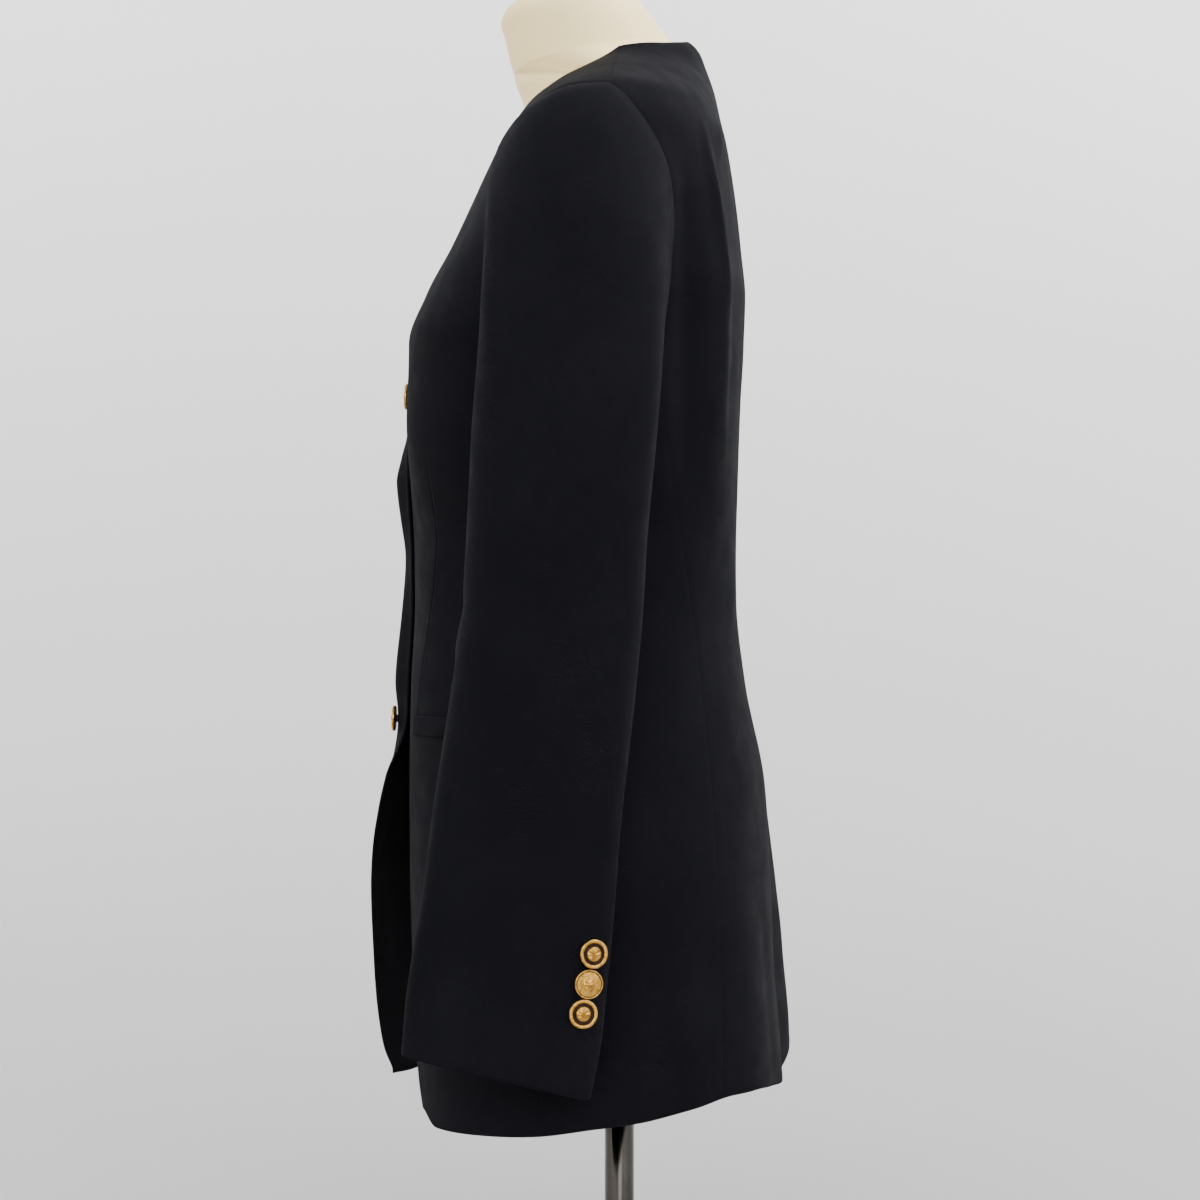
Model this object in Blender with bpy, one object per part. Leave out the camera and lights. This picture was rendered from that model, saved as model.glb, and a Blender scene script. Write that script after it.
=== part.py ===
"""Collarless blazer on a limbless dress form with a pole stand.

Metres, +Z up, the front faces -Y, the wearer's left is +X. Heights h in the
tables are above the waist datum; WAIST adds the distance down to the floor.
"""
import math

import bpy
import numpy as np

WAIST = 1.010       # waist datum over the floor
CLOTH = 0.0020      # wall of the cloth
GAP = 0.0003        # seam gap between neighbouring pieces
UNDERARM = 0.137    # row of the fronts that meets the armhole
SHOULDER = math.pi / 2

for old in list(bpy.data.objects):
    bpy.data.objects.remove(old, do_unlink=True)

# ---------------------------------------------------------------- tables
# Body rings: height, half width, y at centre front, y at centre back,
# y of the widest point, squareness of the front half, of the back half.
BODY = [
    (-0.360, 0.1900, -0.1370, 0.1120, -0.020, 2.4, 2.4),
    (-0.300, 0.1890, -0.1390, 0.1095, -0.020, 2.4, 2.4),
    (-0.250, 0.1855, -0.1415, 0.1050, -0.021, 2.4, 2.4),
    (-0.190, 0.1775, -0.1430, 0.1014, -0.023, 2.4, 2.4),
    (-0.125, 0.1625, -0.1440, 0.0970, -0.025, 2.4, 2.4),
    (-0.055, 0.1450, -0.1425, 0.0845, -0.027, 2.4, 2.4),
    (0.000, 0.1370, -0.1400, 0.0800, -0.029, 2.4, 2.4),
    (0.030, 0.1365, -0.1400, 0.0800, -0.030, 2.4, 2.4),
    (0.083, 0.1450, -0.1420, 0.0812, -0.030, 2.7, 2.4),
    (0.137, 0.1645, -0.1425, 0.0832, -0.030, 3.0, 2.4),
    (0.170, 0.1740, -0.1435, 0.0850, -0.029, 3.0, 2.4),
    (0.203, 0.1815, -0.1320, 0.0855, -0.027, 2.7, 2.5),
    (0.235, 0.1870, -0.1145, 0.0825, -0.023, 2.6, 2.5),
    (0.260, 0.1905, -0.1020, 0.0800, -0.019, 2.7, 2.5),
    (0.284, 0.1935, -0.0905, 0.0770, -0.014, 2.8, 2.4),
    (0.305, 0.1950, -0.0800, 0.0735, -0.010, 2.7, 2.3),
    (0.322, 0.1950, -0.0685, 0.0700, -0.008, 2.5, 2.1),
    (0.345, 0.1350, -0.0540, 0.0660, -0.004, 1.7, 1.9),
    (0.368, 0.0780, -0.0240, 0.0585, 0.000, 1.4, 1.8),
    (0.390, 0.0640, -0.0220, 0.0500, 0.003, 1.4, 1.8),
]

# Armhole: turn in degrees (0 shoulder point, 90 foremost, 180 underarm,
# 270 rearmost), y, height.
ARMHOLE = [
    (0.0, -0.0080, 0.3220), (8.5, -0.0260, 0.3218), (17.9, -0.0440, 0.3165),
    (28.0, -0.0590, 0.3070), (39.3, -0.0705, 0.2920), (51.4, -0.0770, 0.2715),
    (63.4, -0.0800, 0.2500), (76.9, -0.0820, 0.2275), (90.0, -0.0835, 0.2050),
    (107.4, -0.0828, 0.1850), (124.5, -0.0780, 0.1660), (141.6, -0.0680, 0.1490),
    (161.7, -0.0500, 0.1345), (180.0, -0.0300, 0.1280), (193.1, -0.0100, 0.1320),
    (206.5, 0.0080, 0.1425), (219.4, 0.0205, 0.1580), (231.5, 0.0275, 0.1755),
    (244.2, 0.0305, 0.1950), (257.1, 0.0325, 0.2150), (270.0, 0.0336, 0.2350),
    (286.9, 0.0325, 0.2540), (301.4, 0.0295, 0.2700), (315.4, 0.0245, 0.2850),
    (329.1, 0.0170, 0.2985), (341.4, 0.0085, 0.3095), (351.5, 0.0005, 0.3175),
    (360.0, -0.0080, 0.3220),
]
# Where seams meet the armhole, and steps between them, shared by all panels.
FRONT_SEAM_TURN, FORE_TURN = 156.0, 117.0
BACK_SEAM_TURN, HIND_TURN = 219.6, 283.0
FRONT_TURNS = [156.0, 143.0, 130.0, 117.0, 104.0, 91.0, 78.0, 65.0, 52.0, 39.0, 26.0, 13.0, 0.0]
SIDE_TURNS = [156.0, 168.7, 181.4, 194.1, 206.8, 219.6]
BACK_TURNS = [219.6, 232.3, 245.0, 257.7, 270.4, 283.0, 295.8, 308.6, 321.4, 334.2, 347.0, 360.0]

# Seams of the side panel: height, y.
FRONT_SEAM = [(-0.360, -0.052), (-0.150, -0.050), (0.020, -0.053), (0.140, -0.056)]
BACK_SEAM = [(-0.360, 0.066), (-0.162, 0.0605), (-0.048, 0.0520), (0.0065, 0.0446),
             (0.069, 0.0362), (0.114, 0.0285), (0.160, 0.0205)]

# Front edge: height, x towards the panel's own side. Below the last button it
# cuts away; above the top button it is the neckline.
FRONT_EDGE = [
    (-0.336, 0.0830), (-0.320, 0.0700), (-0.300, 0.0610), (-0.270, 0.0515),
    (-0.240, 0.0415), (-0.210, 0.0305), (-0.180, 0.0180), (-0.150, 0.0040),
    (-0.125, -0.0080), (-0.105, -0.0160), (-0.085, -0.0200), (0.137, -0.0200),
]
NECKLINE = [
    (0.137, -0.0200), (0.146, -0.0190), (0.158, -0.0115), (0.175, -0.0015),
    (0.200, 0.0110), (0.230, 0.0255), (0.260, 0.0385), (0.290, 0.0500),
    (0.320, 0.0610), (0.345, 0.0700), (0.360, 0.0755), (0.368, 0.0780),
]
HEM = [  # turn from centre front in degrees, height
    (0.0, -0.3450), (25.0, -0.3440), (60.0, -0.3400), (90.0, -0.3330),
    (120.0, -0.3205), (145.0, -0.3155), (165.0, -0.3215), (180.0, -0.3315),
]
BACK_NECK = [(90.0, 0.3680), (120.0, 0.3712), (150.0, 0.3768), (180.0, 0.3828)]

# Right front stands off over the left: height, lift at its edge.
LAP = [
    (-0.345, 0.0320), (-0.317, 0.0345), (-0.288, 0.0350), (-0.250, 0.0335),
    (-0.200, 0.0305), (-0.170, 0.0270), (-0.140, 0.0210), (-0.112, 0.0135),
    (-0.081, 0.0080), (-0.055, 0.0082), (-0.014, 0.0078), (0.028, 0.0056),
    (0.055, 0.0082), (0.083, 0.0098), (0.110, 0.0068), (0.140, 0.0044),
    (0.165, 0.0044), (0.190, 0.0030), (0.230, 0.0000), (0.390, 0.0000),
]
LAP_REACH = [(-0.345, 62.0), (-0.200, 58.0), (-0.100, 40.0), (-0.060, 26.0), (0.390, 22.0)]

# Right back stands out beside the vent: height, lift.
VENT_FLARE = [(-0.345, 0.0110), (-0.320, 0.0120), (-0.290, 0.0135), (-0.240, 0.0140),
              (-0.200, 0.0120), (-0.156, 0.0075), (-0.126, 0.0045), (-0.090, 0.0015),
              (-0.050, 0.0000), (0.390, 0.0000)]
VENT_TOP = -0.165

# Drape: turn from centre front, spread, top, bottom, depth outwards.
DRAPE = [
    (127.0, 7.0, 0.300, 0.040, -0.0050),
    (141.0, 5.5, 0.310, 0.030, 0.0030),
    (112.0, 9.0, -0.080, -0.420, -0.0025),
    (138.0, 10.0, -0.090, -0.420, 0.0035),
    (46.0, 9.0, 0.120, -0.060, -0.0015),
]

# Sleeve rings: height, x, y, half depth fore and aft, half thickness,
# squareness, forward pitch in degrees.
SLEEVE = [
    (-0.2913, 0.2195, -0.0773, 0.0594, 0.0215, 4.4, 13.4),
    (-0.2560, 0.2175, -0.0723, 0.0611, 0.0230, 4.2, 12.4),
    (-0.2250, 0.2155, -0.0685, 0.0605, 0.0250, 3.9, 11.0),
    (-0.1900, 0.2130, -0.0640, 0.0592, 0.0275, 3.5, 9.5),
    (-0.1400, 0.2100, -0.0590, 0.0580, 0.0310, 3.1, 8.0),
    (-0.0900, 0.2080, -0.0530, 0.0574, 0.0345, 2.8, 7.0),
    (-0.0450, 0.2070, -0.0473, 0.0570, 0.0375, 2.6, 6.0),
    (0.0000, 0.2075, -0.0420, 0.0561, 0.0400, 2.5, 5.0),
    (0.0450, 0.2095, -0.0398, 0.0556, 0.0420, 2.4, 4.0),
    (0.1000, 0.2125, -0.0358, 0.0567, 0.0435, 2.3, 2.0),
]
BICEP, CUFF = 0.1000, -0.2913
CAP_SHARE = 0.36            # share of a sleeve's rows spent on the cap
# Way in which the sleeve leaves the armhole, for each 1 outwards:
# turn, forwards, upwards, share of the reach to the bicep.
SLEEVE_HEAD = [
    (0.0, 0.10, -0.22, 0.66), (20.0, 0.34, -0.16, 0.68), (40.0, 0.28, -0.12, 0.70),
    (60.0, 0.14, -0.10, 0.70), (90.0, 0.03, -0.14, 0.70), (140.0, 0.02, -0.30, 0.70),
    (180.0, 0.00, -0.44, 0.70),
    (225.0, -0.06, -0.30, 0.70), (270.0, 0.02, -0.14, 0.66), (315.0, 0.08, -0.14, 0.64),
    (340.0, 0.06, -0.20, 0.64), (360.0, 0.10, -0.22, 0.66),
]

# Dress form: height, how far it stays inside the blazer's outer face.
FORM_INSET = [(-0.250, 0.0160), (-0.150, 0.0140), (0.000, 0.0100), (0.100, 0.0090),
              (0.200, 0.0088), (0.270, 0.0084), (0.310, 0.0082), (0.360, 0.0088)]
FORM_HEIGHTS = [-0.240, -0.215, -0.180, -0.140, -0.095, -0.050, 0.000, 0.040, 0.083,
                0.125, 0.160, 0.190, 0.215, 0.240, 0.265, 0.287, 0.305, 0.317,
                0.324, 0.331, 0.339, 0.347, 0.354, 0.360]
# Throat of the form, where it comes out of the shoulders: height, y of its
# middle, half width, half depth.
THROAT = [(0.290, -0.0150, 0.0520, 0.0540), (0.322, -0.0150, 0.0540, 0.0530),
          (0.345, -0.0145, 0.0550, 0.0510), (0.3625, -0.0180, 0.0545, 0.0535)]
# Neck of the form: y, height, half width, half depth, backward rise in degrees.
FORM_NECK = [
    (-0.0180, 0.3725, 0.0545, 0.0555, 10.4),
    (-0.0220, 0.3800, 0.0535, 0.0540, 10.4),
    (-0.0285, 0.3940, 0.0525, 0.0506, 10.4),
    (-0.0350, 0.4060, 0.0510, 0.0473, 10.4),
    (-0.0365, 0.4135, 0.0455, 0.0420, 10.4),
    (-0.0372, 0.4180, 0.0325, 0.0300, 10.4),
    (-0.0376, 0.4197, 0.0160, 0.0150, 10.4),
]

POLE_RADIUS = 0.01015
FORM_BOTTOM = -0.250
BASE = [(0.000, 0.000), (0.160, 0.000), (0.160, 0.006), (0.157, 0.009),
        (0.060, 0.013), (0.026, 0.017), (0.019, 0.034), (0.000, 0.034)]

BUTTON_RADIUS = 0.0090
# Button profiles: share of the radius, height over the cloth.
RIMMED = [(0.00, 0.0004), (0.26, 0.0004), (0.26, 0.0019), (0.90, 0.0019), (1.00, 0.0029),
          (0.93, 0.0043), (0.79, 0.0037), (0.62, 0.0038), (0.50, 0.0049), (0.00, 0.0054)]
PLAIN = [(0.00, 0.0004), (0.26, 0.0004), (0.26, 0.0019), (0.90, 0.0019), (1.00, 0.0029),
         (0.94, 0.0040), (0.34, 0.0044), (0.24, 0.0052), (0.00, 0.0054)]
FRONT_BUTTONS = [("button_front_upper", 0.140), ("button_front_lower", -0.0815)]
# Cuff buttons from the top: y, height, profile.
CUFF_BUTTONS = [(-0.0183, -0.2150, RIMMED), (-0.0211, -0.2332, PLAIN), (-0.0243, -0.2512, RIMMED)]

WELT_TOP, WELT_BOTTOM = -0.0765, -0.0895
WELT_START, WELT_LENGTH = 0.068, 0.130
WELT_THICK = 0.0015


# ---------------------------------------------------------------- helpers
def smooth(rows, at, column=1):
    """Smooth curve through a table's rows, sorted by their first column."""
    rows = sorted(rows, key=lambda row: row[0])
    xs = np.array([row[0] for row in rows], float)
    ys = np.array([row[column] for row in rows], float)
    at = np.clip(np.asarray(at, float), xs[0], xs[-1])
    step = np.diff(xs)
    slope = np.diff(ys) / step
    tangent = np.zeros_like(ys)
    tangent[0], tangent[-1] = slope[0], slope[-1]
    for i in range(1, len(xs) - 1):
        if slope[i - 1] * slope[i] > 0:
            a = 2 * step[i] + step[i - 1]
            b = step[i] + 2 * step[i - 1]
            tangent[i] = (a + b) / (a / slope[i - 1] + b / slope[i])
    k = np.clip(np.searchsorted(xs, at) - 1, 0, len(xs) - 2)
    t = (at - xs[k]) / step[k]
    return ((1 + 2 * t) * (1 - t) ** 2 * ys[k] + t * (1 - t) ** 2 * step[k] * tangent[k]
            + t * t * (3 - 2 * t) * ys[k + 1] + t * t * (t - 1) * step[k] * tangent[k + 1])


def ease(t):
    t = np.clip(t, 0.0, 1.0)
    return t * t * (3 - 2 * t)


def unit(v):
    return v / np.maximum(np.linalg.norm(v, axis=-1, keepdims=True), 1e-12)


def turn_at_x(x, h):
    """Turn on the front half of the ring at height h where it reaches x."""
    half, n = smooth(BODY, h, 1), smooth(BODY, h, 5)
    q = np.clip(np.abs(x) / half, 0.0, 1.0)
    t = q / np.maximum(1 - q ** n, 1e-12) ** (1 / n)
    return np.sign(x) * np.arctan(t)


def turn_at_y(y, h):
    """Turn on the ring at height h where it reaches y."""
    front, back, mid = (smooth(BODY, h, c) for c in (2, 3, 4))
    ahead = y < mid
    n = np.where(ahead, smooth(BODY, h, 5), smooth(BODY, h, 6))
    depth = np.where(ahead, mid - front, back - mid)
    p = np.clip(np.abs(mid - y) / depth, 1e-9, 1.0)
    t = np.arctan(np.maximum(p ** -n - 1, 0.0) ** (1 / n))
    return np.where(ahead, t, math.pi - t)


def body(turn, h, side=1, lift=None):
    """Point of the blazer's outer face; lift(turn, h) moves it outwards."""
    turn, h = np.broadcast_arrays(np.asarray(turn, float), np.asarray(h, float))
    half, front, back, mid, nf, nb = (smooth(BODY, h, c) for c in range(1, 7))
    s, c = np.sin(turn), np.cos(turn)
    n = np.where(c > 0, nf, nb)
    depth = np.where(c > 0, mid - front, back - mid)
    rho = (np.abs(s) ** n + np.abs(c) ** n) ** (1 / n)
    x, y = half * s / rho, mid - depth * c / rho
    gx = np.sign(s) * np.abs(s / rho) ** (n - 1) / half
    gy = -np.sign(c) * np.abs(c / rho) ** (n - 1) / depth
    out = drape(turn, h)
    if lift is not None:
        out = out + lift(turn, h)
    size = np.hypot(gx, gy)
    return np.stack([side * (x + out * gx / size), y + out * gy / size, h + WAIST], axis=-1)


def drape(turn, h):
    """Large soft folds that both halves share."""
    out = np.zeros_like(turn)
    for centre, spread, top, bottom, depth in DRAPE:
        across = np.exp(-((np.degrees(turn) - centre) / spread) ** 2)
        t = np.clip((h - bottom) / (top - bottom), 0.0, 1.0)
        out = out + depth * across * np.sin(math.pi * t) ** 1.5
    return out


def lap_lift(turn, h):
    """Right front: lies over the left one and swings open below the buttons."""
    edge = turn_at_x(smooth(FRONT_EDGE + NECKLINE[1:], h), h)
    reach = np.radians(smooth(LAP_REACH, h))
    t = np.clip((reach - turn) / np.maximum(reach - edge, 1e-3), 0.0, 1.3)
    return smooth(LAP, h) * np.where(h > -0.1, ease(t), t ** 1.7 * (1 - 0.0 * t))


def flare_lift(turn, h):
    """Right back: stands out beside the vent."""
    t = np.degrees(turn)
    shape = np.where(t > 160.0, 1 - 1.15 * ease((t - 160.0) / 20.0), ease((t - 112.0) / 48.0))
    return smooth(VENT_FLARE, h) * shape


def skin(point, a, b):
    """Outward unit normals of point(a, b) by central differences."""
    ea, eb = 0.02, 0.001
    da = point(a + ea, b) - point(a - ea, b)
    db = point(a, b + eb) - point(a, b - eb)
    return unit(np.cross(da, db))


def blend(bottom, top, left, right):
    """Transfinite patch: bottom/top are (nu, 2), left/right are (nv, 2)."""
    nu, nv = len(bottom), len(left)
    u = np.linspace(0, 1, nu)[None, :, None]
    v = np.linspace(0, 1, nv)[:, None, None]
    return ((1 - v) * bottom[None] + v * top[None] + (1 - u) * left[:, None] + u * right[:, None]
            - (1 - u) * (1 - v) * bottom[0] - u * (1 - v) * bottom[-1]
            - (1 - u) * v * top[0] - u * v * top[-1])


def settle(grid):
    """Inner points of a (turn, height) grid moved where an even patch between
    the grid's edges in space comes closest to the body."""
    edge = body(grid[..., 0], grid[..., 1])
    aim = blend(edge[0], edge[-1], edge[:, 0], edge[:, -1])
    turn, h = grid[1:-1, 1:-1, 0].copy(), grid[1:-1, 1:-1, 1].copy()
    aim = aim[1:-1, 1:-1]
    for _ in range(40):
        miss = aim - body(turn, h)
        da = (body(turn + 1e-3, h) - body(turn - 1e-3, h)) / 2e-3
        db = (body(turn, h + 1e-4) - body(turn, h - 1e-4)) / 2e-4
        aa, ab, bb = (da * da).sum(-1), (da * db).sum(-1), (db * db).sum(-1)
        ra, rb = (da * miss).sum(-1), (db * miss).sum(-1)
        det = np.maximum(aa * bb - ab * ab, 1e-9)
        turn = turn + np.clip(0.7 * (ra * bb - rb * ab) / det, -0.08, 0.08)
        h = h + np.clip(0.7 * (rb * aa - ra * ab) / det, -0.006, 0.006)
    grid = grid.copy()
    grid[1:-1, 1:-1, 0], grid[1:-1, 1:-1, 1] = turn, h
    return grid


def pairs(turn, h):
    turn, h = np.broadcast_arrays(np.asarray(turn, float), np.asarray(h, float))
    return np.stack([turn, h], axis=-1)


def shift(turn, h, by):
    """Turn moved along the ring by a distance."""
    here, there = body(turn, h), body(turn + 1e-3, h)
    return turn + by * 1e-3 / np.linalg.norm(there - here, axis=-1)


# ---------------------------------------------------------------- materials
def material(name, colour, metallic, roughness):
    mat = bpy.data.materials.new(name)
    mat.use_nodes = True
    shader = mat.node_tree.nodes["Principled BSDF"]
    shader.inputs["Base Color"].default_value = (*colour, 1.0)
    shader.inputs["Metallic"].default_value = metallic
    shader.inputs["Roughness"].default_value = roughness
    return mat


BLACK_CLOTH = material("black_cloth", (0.012, 0.012, 0.015), 0.0, 0.85)
GOLD = material("gold_metal", (0.60, 0.40, 0.16), 1.0, 0.28)
CREAM = material("cream_form", (0.78, 0.70, 0.56), 0.0, 0.60)
CHROME = material("chrome_tube", (0.70, 0.71, 0.72), 1.0, 0.12)


def build(name, verts, faces, mat, shaded=True):
    """Closed mesh object with outward faces."""
    verts = np.asarray(verts, float)
    tri = np.array([(f[0], f[i], f[i + 1]) for f in faces for i in range(1, len(f) - 1)])
    a, b, c = (verts[tri[:, i]] for i in range(3))
    if np.einsum("ij,ij->i", a, np.cross(b, c)).sum() < 0:
        faces = [tuple(reversed(f)) for f in faces]
    mesh = bpy.data.meshes.new(name)
    mesh.from_pydata(verts.tolist(), [], [tuple(int(i) for i in f) for f in faces])
    mesh.materials.append(mat)
    mesh.polygons.foreach_set("use_smooth", [shaded] * len(mesh.polygons))
    mesh.update()
    ob = bpy.data.objects.new(name, mesh)
    bpy.context.scene.collection.objects.link(ob)
    return ob


def wall(name, outer, inner, mat):
    """Closed wall between two grids of the same size."""
    nv, nu = outer.shape[:2]
    size = nv * nu
    verts = np.concatenate([outer.reshape(-1, 3), inner.reshape(-1, 3)])
    faces = []
    for j in range(nv - 1):
        for i in range(nu - 1):
            a, b = j * nu + i, j * nu + i + 1
            c, d = b + nu, a + nu
            if np.linalg.norm(verts[a] - verts[c]) <= np.linalg.norm(verts[b] - verts[d]):
                faces += [(a, b, c), (a, c, d)]
                faces += [(size + c, size + b, size + a), (size + d, size + c, size + a)]
            else:
                faces += [(a, b, d), (b, c, d)]
                faces += [(size + d, size + b, size + a), (size + d, size + c, size + b)]
    rim = ([(0, i) for i in range(nu - 1)] + [(j, nu - 1) for j in range(nv - 1)]
           + [(nv - 1, i) for i in range(nu - 1, 0, -1)] + [(j, 0) for j in range(nv - 1, 0, -1)])
    ring = [j * nu + i for j, i in rim]
    for a, b in zip(ring, ring[1:] + ring[:1]):
        faces += [(b, a, size + a), (b, size + a, size + b)]
    return build(name, verts, faces, mat)


def panel(name, grid, side, lift=None, thick=CLOTH):
    """Cloth panel from a grid of (turn, height) on the body."""
    def point(a, b):
        return body(a, b, side, lift)
    outer = point(grid[..., 0], grid[..., 1])
    normal = side * skin(point, grid[..., 0], grid[..., 1])
    wall(name, outer, outer - thick * normal, BLACK_CLOTH)
    return outer, normal


# ---------------------------------------------------------------- outlines
def armhole(turn_deg):
    """(turn, height) on the body of a point of the armhole."""
    h = smooth(ARMHOLE, np.mod(turn_deg, 360.0001), 2)
    y = smooth(ARMHOLE, np.mod(turn_deg, 360.0001), 1)
    return pairs(turn_at_y(y, h), h)


def hem(turn):
    return smooth(HEM, np.degrees(turn))


def front_grid(nu=11, low=14):
    """Front panel: hem to underarm row, then up to neckline and shoulder."""
    join = armhole(FRONT_SEAM_TURN)
    t = np.linspace(0, 1, low)
    h = FRONT_EDGE[0][0] + (UNDERARM - FRONT_EDGE[0][0]) * t
    left = pairs(turn_at_x(smooth(FRONT_EDGE, h), h), h)
    foot = turn_at_y(smooth(FRONT_SEAM, -0.338), -0.338)
    h = hem(foot) + (join[1] - hem(foot)) * t
    y = smooth(FRONT_SEAM, h)
    y = y + (smooth(ARMHOLE, FRONT_SEAM_TURN) - smooth(FRONT_SEAM, join[1])) * ease((h - 0.05) / 0.085)
    right = pairs(shift(turn_at_y(y, h), h, -GAP / 2), h)
    right[-1] = (shift(join[0], join[1], -GAP / 2), join[1])
    u = np.linspace(0, 1, nu)
    turn = left[0, 0] + (right[0, 0] - left[0, 0]) * u
    drop = hem(turn) + (left[0, 1] - hem(turn[0])) * (1 - ease(u / 0.22))
    bottom = pairs(turn, drop)
    middle = left[-1] + (right[-1] - left[-1]) * u[:, None]
    lower = blend(bottom, middle, left, right)
    t = np.linspace(0, 1, len(FRONT_TURNS))
    h = UNDERARM + (NECKLINE[-1][0] - UNDERARM) * t
    left = pairs(turn_at_x(smooth(NECKLINE, h), h), h)
    right = armhole(np.array(FRONT_TURNS))
    right[0] = middle[-1]
    crest = NECKLINE[-1][0] + (0.322 - NECKLINE[-1][0]) * u
    top = pairs(shift(SHOULDER, crest, -0.8 * GAP), crest)
    left[-1], right[-1] = top[0], top[-1]
    upper = settle(blend(middle, top, left, right))
    return np.concatenate([lower, upper[1:]])


def back_grid(nu=11, low=14):
    """Back panel: hem to underarm row, then up to shoulder and back neck."""
    join = armhole(BACK_SEAM_TURN)
    foot = turn_at_y(smooth(BACK_SEAM, -0.324), -0.324)
    t = np.linspace(0, 1, low)
    h = hem(foot) + (join[1] - hem(foot)) * t
    left = pairs(shift(turn_at_y(smooth(BACK_SEAM, h), h), h, GAP / 2), h)
    left[-1] = (shift(join[0], join[1], GAP / 2), join[1])
    h = hem(math.pi) + (0.160 - hem(math.pi)) * t
    slack = 0.0035 * ease((VENT_TOP - h) / 0.16)
    right = pairs(shift(np.full(low, math.pi), h, -GAP / 2 - slack), h)
    u = np.linspace(0, 1, nu)
    turn = left[0, 0] + (right[0, 0] - left[0, 0]) * u
    bottom = pairs(turn, hem(turn))
    bottom[0, 1], bottom[-1, 1] = left[0, 1], right[0, 1]
    middle = left[-1] + (right[-1] - left[-1]) * u[:, None]
    lower = blend(bottom, middle, left, right)
    t = np.linspace(0, 1, len(BACK_TURNS))
    left = armhole(np.array(BACK_TURNS))
    left[0] = middle[0]
    h = 0.160 + (BACK_NECK[-1][1] - 0.160) * t
    right = pairs(shift(np.full(len(t), math.pi), h, -GAP / 2), h)
    corner = 0.6
    rise = 0.322 + (0.368 - 0.322) * np.clip(u / corner, 0, 1)
    crest = shift(SHOULDER, rise, 0.8 * GAP)
    along = np.clip((u - corner) / (1 - corner), 0, 1)
    turn = crest + (right[-1, 0] - crest) * along
    top = pairs(turn, np.where(u <= corner + 1e-9, rise, smooth(BACK_NECK, np.degrees(turn))))
    left[-1] = top[0]
    upper = settle(blend(middle, top, left, right))
    return np.concatenate([lower, upper[1:]])


def side_grid(nu=6, low=14):
    """Side panel under the arm."""
    start, end = armhole(FRONT_SEAM_TURN), armhole(BACK_SEAM_TURN)
    t = np.linspace(0, 1, low)
    foot = turn_at_y(smooth(FRONT_SEAM, -0.338), -0.338)
    h = hem(foot) + (start[1] - hem(foot)) * t
    y = smooth(FRONT_SEAM, h)
    y = y + (smooth(ARMHOLE, FRONT_SEAM_TURN) - smooth(FRONT_SEAM, start[1])) * ease((h - 0.05) / 0.085)
    left = pairs(shift(turn_at_y(y, h), h, GAP / 2), h)
    left[-1] = (shift(start[0], start[1], GAP / 2), start[1])
    foot = turn_at_y(smooth(BACK_SEAM, -0.324), -0.324)
    h = hem(foot) + (end[1] - hem(foot)) * t
    right = pairs(shift(turn_at_y(smooth(BACK_SEAM, h), h), h, -GAP / 2), h)
    right[-1] = (shift(end[0], end[1], -GAP / 2), end[1])
    u = np.linspace(0, 1, nu)
    turn = left[0, 0] + (right[0, 0] - left[0, 0]) * u
    bottom = pairs(turn, hem(turn))
    bottom[0, 1], bottom[-1, 1] = left[0, 1], right[0, 1]
    top = armhole(np.array(SIDE_TURNS))
    top[0], top[-1] = left[-1], right[-1]
    return blend(bottom, top, left, right)


# ---------------------------------------------------------------- sleeves
def sleeve_ring(turn_deg, h):
    """Point of a sleeve's outer face below the cap."""
    x, y, deep, thick, n, pitch = (smooth(SLEEVE, h, c) for c in range(1, 7))
    a, pitch = np.radians(turn_deg), np.radians(pitch)
    c, s = np.cos(a), np.sin(a)
    rho = (np.abs(c) ** n + np.abs(s) ** n) ** (1 / n)
    fore = deep * s / rho
    return np.stack([x + thick * c / rho, y - fore * np.cos(pitch),
                     h + fore * np.sin(pitch) + WAIST], axis=-1)


def sleeve_point(turn_deg, v):
    """Sleeve's outer face: v 0 at the armhole, CAP_SHARE at the bicep, 1 at the cuff."""
    turn_deg, v = np.broadcast_arrays(np.asarray(turn_deg, float), np.asarray(v, float))
    hole = armhole(turn_deg)
    start = body(hole[..., 0], hole[..., 1])
    end = sleeve_ring(turn_deg, np.full(turn_deg.shape, BICEP))
    down = unit(sleeve_ring(turn_deg, np.full(turn_deg.shape, BICEP - 0.01)) - end)
    fore, up, reach = (smooth(SLEEVE_HEAD, np.mod(turn_deg, 360.0001), c) for c in (1, 2, 3))
    away = unit(np.stack([np.ones_like(fore), -fore, up], axis=-1))
    chord = np.linalg.norm(end - start, axis=-1, keepdims=True)
    pull, drop = reach[..., None] * chord, 1.10 * chord
    t = np.clip(v / CAP_SHARE, 0, 1)[..., None]
    t0 = GAP / pull
    t = t0 + (1 - t0) * t
    cap = ((2 * t ** 3 - 3 * t ** 2 + 1) * start + (t ** 3 - 2 * t ** 2 + t) * pull * away
           + (3 * t ** 2 - 2 * t ** 3) * end + (t ** 3 - t ** 2) * drop * down)
    low = (np.maximum(v, CAP_SHARE) - CAP_SHARE) / (1 - CAP_SHARE)
    arm = sleeve_ring(turn_deg, BICEP + (CUFF - BICEP) * low)
    return np.where((v <= CAP_SHARE)[..., None], cap, arm)


def sleeve_skin(turn_deg, v):
    ea, ev = 0.05, 2e-4
    hi, lo = np.minimum(v + ev, 1.0), np.maximum(v - ev, 0.0)
    da = sleeve_point(turn_deg + ea, v) - sleeve_point(turn_deg - ea, v)
    dv = sleeve_point(turn_deg, hi) - sleeve_point(turn_deg, lo)
    return unit(np.cross(da, dv))


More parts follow.
